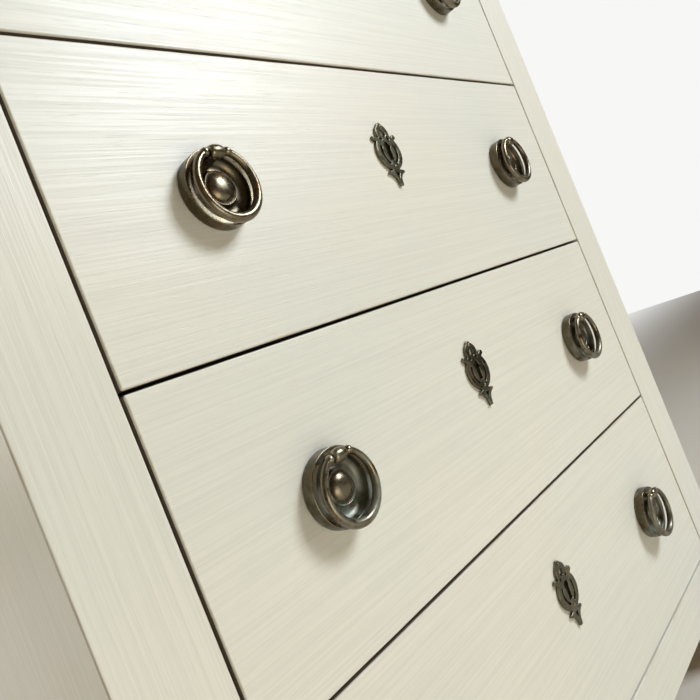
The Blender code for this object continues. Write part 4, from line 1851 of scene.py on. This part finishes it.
@dataclass
class RingPull:
    """A turned rose with a hinge barrel, and the oval ring that hangs from it.

    Radii and reaches of the rose are in millimetres, from its middle and from the drawer's face.
    """

    rods: SweptRodTree
    weathering: Weathering
    hinge_reach: float = 13.0 * MM
    hinge_rise: float = 16.6 * MM
    half_width: float = 18.2 * MM
    half_height: float = 18.9 * MM
    thick: float = 2.7 * MM
    thin: float = 1.9 * MM
    ball_x: float = 7.2 * MM
    ball_radius: float = 2.5 * MM
    pin_radius: float = 1.1 * MM
    pin_tip: float = 2.1 * MM
    barrel_half: float = 4.4 * MM
    barrel_end: float = 3.4 * MM
    barrel_middle: float = 4.0 * MM
    barrel_depth: float = 0.88
    bore_radius: float = 1.5 * MM
    bore_end: float = 1.6 * MM
    neck_half: float = 3.3 * MM
    neck_low: float = 14.2 * MM
    neck_high: float = 18.8 * MM
    neck_root: float = 2.2 * MM
    neck_flare: float = 0.9 * MM
    stud_radius: float = 2.0 * MM
    stud_length: float = 28.0 * MM
    thread_pitch: float = 0.8 * MM
    thread_depth: float = 0.22 * MM
    dome_radius: float = 8.8 * MM
    dome_rub: float = 0.16
    rim_radius: float = 18.3 * MM
    rim_height: float = 7.4 * MM
    rim_rub: float = 0.10
    sides: int = 96
    ring_steps: int = 72
    ring_sides: int = 24

    def stud(self) -> Outline:
        """The threaded stud behind the rose, as (radius, reach).

        Returns:
            The points from the tip to the rose.
        """
        line = [(0, -self.stud_length), (self.stud_radius - 0.5 * MM, -self.stud_length),
                (self.stud_radius - self.thread_depth, -self.stud_length + 0.5 * MM)]
        reach = -self.stud_length + 0.5 * MM
        while reach < -18 * MM:
            line += [(self.stud_radius, reach + self.thread_pitch / 2),
                     (self.stud_radius - self.thread_depth, reach + self.thread_pitch)]
            reach += self.thread_pitch
        return line + [(self.stud_radius, reach + self.thread_pitch), (self.stud_radius, 0.3 * MM)]

    def profile(self) -> Outline:
        """The rose's whole profile: back, wall, rim, dished floor, bead and dome.

        Returns:
            The points as (radius, reach).
        """
        runs = [[(2.0, 0.3), (21.0, 0.3)],
                [(21.0, 0.3), (21.42, 0.42), (21.6, 0.9)],
                [(21.6, 0.9), (21.66, 3.4), (21.6, 7.3)],
                [(21.6, 7.3), (21.5, 7.68), (21.2, 7.82)],
                [(21.2, 7.82), (20.3, 7.71), (19.3, 7.58), (18.55, 7.48)],
                [(18.55, 7.48), (18.2, 7.36), (18.0, 7.1)],
                [(18.0, 7.1), (17.85, 6.7), (17.7, 6.2)],
                [(17.7, 6.2), (17.1, 5.0), (16.1, 4.05), (14.7, 3.25), (13.1, 2.85), (11.6, 2.8),
                 (10.75, 3.05)],
                [(10.75, 3.05), (10.3, 3.6), (10.05, 4.7), (9.95, 5.9)],
                [(9.95, 5.9), (9.82, 6.45), (9.5, 6.72), (9.15, 6.55), (8.98, 6.2)],
                [(8.98, 6.2), (8.75, 6.05), (8.5, 6.3)],
                [(8.5, 6.3), (7.7, 7.3), (6.4, 8.2), (4.6, 8.95), (2.4, 9.38), (0.6, 9.5)]]
        line = self.stud()
        for run in runs:
            line += [(radius * MM, reach * MM) for radius, reach in flowing(run, 4)]
        return line + [(0, 9.5 * MM)]

    def barrel(self) -> bpy.types.Mesh:
        """The hinge barrel, a little fuller in its middle, along X.

        Returns:
            The mesh, in its place on the rose.
        """
        line = [(0, -self.barrel_half), (self.barrel_end - 1.1 * MM, -self.barrel_half),
                (self.barrel_end - 0.4 * MM, -self.barrel_half + 0.25 * MM)]
        swell = self.barrel_middle - self.barrel_end
        length = self.barrel_half - 0.8 * MM
        for step in range(-6, 7):
            share = step / 6
            line.append((self.barrel_end + swell * (1 - share * share), share * length))
        line += [(self.barrel_end - 0.4 * MM, self.barrel_half - 0.25 * MM),
                 (self.barrel_end - 1.1 * MM, self.barrel_half), (0, self.barrel_half)]
        mesh = turned("barrel", line, 36)
        mesh.transform(Matrix.Diagonal((1, self.barrel_depth, 1, 1)) @ Matrix.Rotation(math.pi / 2, 4, "Y"))
        mesh.transform(Matrix.Translation((0, -self.hinge_reach, self.hinge_rise)))
        return mesh

    def neck(self) -> bpy.types.Mesh:
        """The neck that carries the barrel, flared where it meets the rose.

        Returns:
            The mesh, in its place on the rose.
        """

        def narrowed(place: float) -> tuple[float, float, float, float]:
            """The neck's sides at a reach: lowest and highest x, lowest and highest z."""
            flare = self.neck_flare * max(0.0, 1 + (place + self.neck_root) / (6 * MM)) ** 2
            return (-self.neck_half - flare, self.neck_half + flare, self.neck_low - flare,
                    self.neck_high + flare / 3)

        low = Vector((-self.neck_half, -self.hinge_reach, self.neck_low))
        high = Vector((self.neck_half, -self.neck_root, self.neck_high))
        board = Board(low, high, Axis.Y, 1.3 * MM, 0.1, pitch=0.8 * MM, margin=0.2 * MM, narrowed=narrowed)
        return board.mesh("neck")

    def rose(self) -> bpy.types.Mesh:
        """The rose with its neck and bored barrel, its middle on the drawer's face.

        Returns:
            The mesh, with its weathering marked.
        """
        mesh = turned("rose", self.profile(), self.sides)
        mesh.transform(Matrix.Rotation(math.pi / 2, 4, "X"))
        mesh = combined(mesh, self.neck(), Cut.JOIN)
        mesh = combined(mesh, self.barrel(), Cut.JOIN)
        for side in Hand:
            ends = sorted((side.value * self.bore_end, side.value * (self.barrel_half + 1 * MM)))
            round_bore = circle((-self.hinge_reach, self.hinge_rise), self.bore_radius, 24)
            bore = prism("bore", round_bore, *ends, Axis.X)
            mesh = combined(mesh, bore, Cut.REMOVE)
        return self.handled(self.weathering.mark(shade(mesh, 38)))

    def handled(self, rose: bpy.types.Mesh) -> bpy.types.Mesh:
        """Raise "rub" on the rim, which the ring swings over, and on the dome, which fingers touch.

        Args:
            rose: The rose, with its weathering marked.

        Returns:
            The same mesh.
        """
        layer = rose.attributes["rub"].data
        for vert, item in zip(rose.vertices, layer):
            radius = math.hypot(vert.co.x, vert.co.z)
            if radius < self.dome_radius:
                item.value = min(1.0, item.value + self.dome_rub)
            elif self.rim_radius < radius and vert.co.y < -self.rim_height:
                item.value = min(1.0, item.value + self.rim_rub)
        return rose

    def ring_line(self) -> list[tuple[Vector, float]]:
        """The ring's centre line from one pin's tip to the other's, with its radius.

        Returns:
            Places and radii along the rod.
        """
        drop = self.half_height * math.sqrt(1 - (self.ball_x / self.half_width) ** 2)
        top = math.asin(self.ball_x / self.half_width)
        half = [(Vector((self.pin_tip, 0, 0)), self.pin_radius - 0.25 * MM),
                (Vector((self.pin_tip + 0.25 * MM, 0, 0)), self.pin_radius)]
        start = math.degrees(math.asin(self.pin_radius / self.ball_radius))
        neck = math.degrees(math.asin(self.thin / self.ball_radius))
        for step in range(8):
            angle = math.radians(start + (90 - start) * step / 7)
            half.append((Vector((self.ball_x - self.ball_radius * math.cos(angle), 0, 0)),
                         self.ball_radius * math.sin(angle)))
        first = top + self.ball_radius * math.cos(math.radians(neck)) / self.half_width
        turns = [top + (first - top) * share for share in (0.35, 0.7)]
        turns += [first + (math.pi - first) * step / self.ring_steps for step in range(self.ring_steps)]
        for turn in turns:
            place = Vector((self.half_width * math.sin(turn), 0, self.half_height * math.cos(turn) - drop))
            away = (turn - top) * self.half_width
            ball = math.sqrt(max(0.0, self.ball_radius ** 2 - away ** 2))
            rod = self.thin + (self.thick - self.thin) * (1 - math.cos(turn)) / 2
            worn = 1 + 0.025 * noise.noise(Vector((turn * 3.1, 0.7, 4.2)))
            half.append((place, max(ball, rod * worn)))
        lowest = (Vector((0, 0, -self.half_height - drop)), self.thick)
        other = [(Vector((-place.x, 0, place.z)), radius) for place, radius in reversed(half)]
        return half + [lowest] + other

    def ring(self) -> bpy.types.Mesh:
        """The ring, its hinge axis at the origin."""
        return self.weathering.mark(self.rods.sweep(self.ring_line(), self.ring_sides, CAST_BRASS))

    def build(self, tarnish: dict[tuple[int, Hand], float]) -> None:
        """Place a rose and a ring for every pull.

        Args:
            tarnish: How green each pull has gone, by drawer number and side.
        """
        rose, ring = self.rose(), self.ring()
        for (number, side), amount in tarnish.items():
            hinge = hinge_place(number, side)
            rose_node, ring_node = f"rose_{number}_{side.word}", f"ring_{number}_{side.word}"
            middle = hinge + Vector((0, self.hinge_reach, -self.hinge_rise))
            body = moved(tarnished(rose, amount, self.dome_radius), Matrix.Translation(middle))
            drawer = f"drawer_{number}"
            Piece(f"turned_{rose_node}", body, CAST_BRASS, drawer, (rose_node,), "aged_brass").place()
            hoop = moved(tarnished(ring, amount * 0.7), Matrix.Translation(hinge))
            link = body_of_ring(number, side)
            Piece(f"cast_{ring_node}", hoop, CAST_BRASS, link, (ring_node,), "aged_brass").place()


def body_of_ring(number: int, side: Hand) -> str:
    """The body that a ring moves with."""
    return f"ring_{number}_{side.word}"


def hinge_place(number: int, side: Hand) -> Vector:
    """Where a ring's hinge is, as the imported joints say."""
    child = body_of_ring(number, side)
    return next(Vector(joint["pos_m"]) for joint in frame["joints"] if joint["child"] == child)


# ---------------------------------------------------------------------------
# Studio
# ---------------------------------------------------------------------------


@dataclass
class Studio:
    """The floor, the soft lights and the camera."""

    target: Vector
    key_direction: Vector
    key_distance: float = 2.3
    key_size: float = 0.72
    key_power: float = 47.0
    key_colour: Colour = (0.93, 1.0, 1.08)
    card_place: Vector = Vector((-0.28, -0.80, -0.33))
    card_size: float = 0.45
    card_power: float = 2.2
    card_colour: Colour = (1.0, 0.94, 0.82)
    rear_place: Vector = Vector((-1.5, 1.7, 0.75))
    rear_size: float = 1.3
    rear_power: float = 30.0
    rear_colour: Colour = (1.0, 0.98, 0.95)
    room_light: float = 0.10
    room_colour: Colour = (1.0, 0.76, 0.40)
    backdrop: Colour = (0.93, 0.93, 0.92)
    floor_half: float = 4.0
    focal_length: float = 34.18
    yaw: float = 0.831
    pitch: float = 0.008
    roll: float = -0.386
    stand_off: Vector = Vector((-0.3998, -0.2604, -0.0215))

    def floor(self) -> None:
        """A plain pale floor under the chest."""
        half = self.floor_half
        mesh = bpy.data.meshes.new("floor")
        mesh.from_pydata([(-half, -half, -0.1 * MM), (half, -half, -0.1 * MM), (half, half, -0.1 * MM),
                          (-half, half, -0.1 * MM)], [], [(0, 1, 2, 3)])
        mesh.materials.append(StudioFloor().material())
        thing = bpy.data.objects.new("floor", mesh)
        bpy.context.scene.collection.objects.link(thing)

    def room(self) -> None:
        """A white room that lights softly and shows as plain white."""
        world = bpy.data.worlds.new("studio")
        bpy.context.scene.world = world
        world.use_nodes = True
        nodes, links = world.node_tree.nodes, world.node_tree.links
        background = nodes["Background"]
        seen = nodes.new("ShaderNodeLightPath")
        shown = nodes.new("ShaderNodeMix")
        shown.data_type = "RGBA"
        shown.inputs[MIX_FIRST].default_value = (*(self.room_light * part for part in self.room_colour), 1.0)
        shown.inputs[MIX_SECOND].default_value = (*self.backdrop, 1.0)
        links.new(seen.outputs["Is Camera Ray"], shown.inputs["Factor"])
        links.new(shown.outputs[MIX_RESULT], background.inputs["Color"])

    def lamp(self, name: str, place: Vector, size: float, power: float, colour: Colour) -> None:
        """A square soft light that faces the target.

        Args:
            name: Its name.
            place: Where it stands.
            size: Its side.
            power: Its power in watts.
            colour: Its colour.
        """
        light = bpy.data.lights.new(name, "AREA")
        light.shape = "SQUARE"
        light.size = size
        light.energy = power
        light.color = colour
        thing = bpy.data.objects.new(name, light)
        thing.location = place
        thing.rotation_euler = (self.target - place).to_track_quat("-Z", "Y").to_euler()
        bpy.context.scene.collection.objects.link(thing)

    def camera(self) -> None:
        """The camera, close to the front's left edge and tilted."""
        ahead = Vector((math.sin(self.yaw) * math.cos(self.pitch), math.cos(self.yaw) * math.cos(self.pitch),
                        math.sin(self.pitch)))
        level = Vector((math.cos(self.yaw), -math.sin(self.yaw), 0))
        up = level.cross(ahead)
        right = level * math.cos(self.roll) + up * math.sin(self.roll)
        above = up * math.cos(self.roll) - level * math.sin(self.roll)
        lens = bpy.data.cameras.new("camera")
        lens.lens = self.focal_length
        lens.sensor_width = 36.0
        lens.clip_start = 0.01
        thing = bpy.data.objects.new("camera", lens)
        matrix = Matrix((right, above, -ahead)).transposed().to_4x4()
        matrix.translation = self.target + self.stand_off
        thing.matrix_world = matrix
        bpy.context.scene.collection.objects.link(thing)
        bpy.context.scene.camera = thing

    def build(self) -> None:
        """Set up the studio."""
        bpy.context.scene.view_settings.view_transform = "Standard"
        self.floor()
        self.room()
        key = self.target + self.key_direction.normalized() * self.key_distance
        self.lamp("key", key, self.key_size, self.key_power, self.key_colour)
        self.lamp("card", self.target + self.card_place, self.card_size, self.card_power, self.card_colour)
        self.lamp("rear", self.target + self.rear_place, self.rear_size, self.rear_power, self.rear_colour)
        self.camera()


def main() -> None:
    """Build the studio and then the chest, one sub-assembly after another."""
    logging.basicConfig(level=logging.INFO, format="%(message)s")
    upper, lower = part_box("drawer_2_front"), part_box("drawer_3_front")
    between = (upper[0].z + lower[1].z) / 2
    studio = Studio(target=Vector((0, upper[0].y, between)), key_direction=Vector((0.52, -0.69, 0.54)))
    studio.build()

    fasteners = Fasteners(FastenerTree())
    keyhole = Keyhole()
    weathering = Weathering()
    pull = RingPull(SweptRodTree(), weathering)
    case = Case(fasteners)
    case.build()

    drawers = [Drawer(number, fasteners, keyhole) for number in range(1, case.drawers + 1)]
    for drawer in drawers:
        drawer.build([hinge_place(drawer.number, side) + Vector((0, 0, -pull.hinge_rise)) for side in Hand])
    KeyholePlate(keyhole, fasteners, weathering).build(drawers)
    greened = (0.45, 0.30, 0.12, 0.25, 0.90, 0.65, 0.50, 0.75)
    pulls = [(number, side) for number in range(1, case.drawers + 1) for side in Hand]
    pull.build(dict(zip(pulls, greened)))


if __name__ == "__main__":
    main()
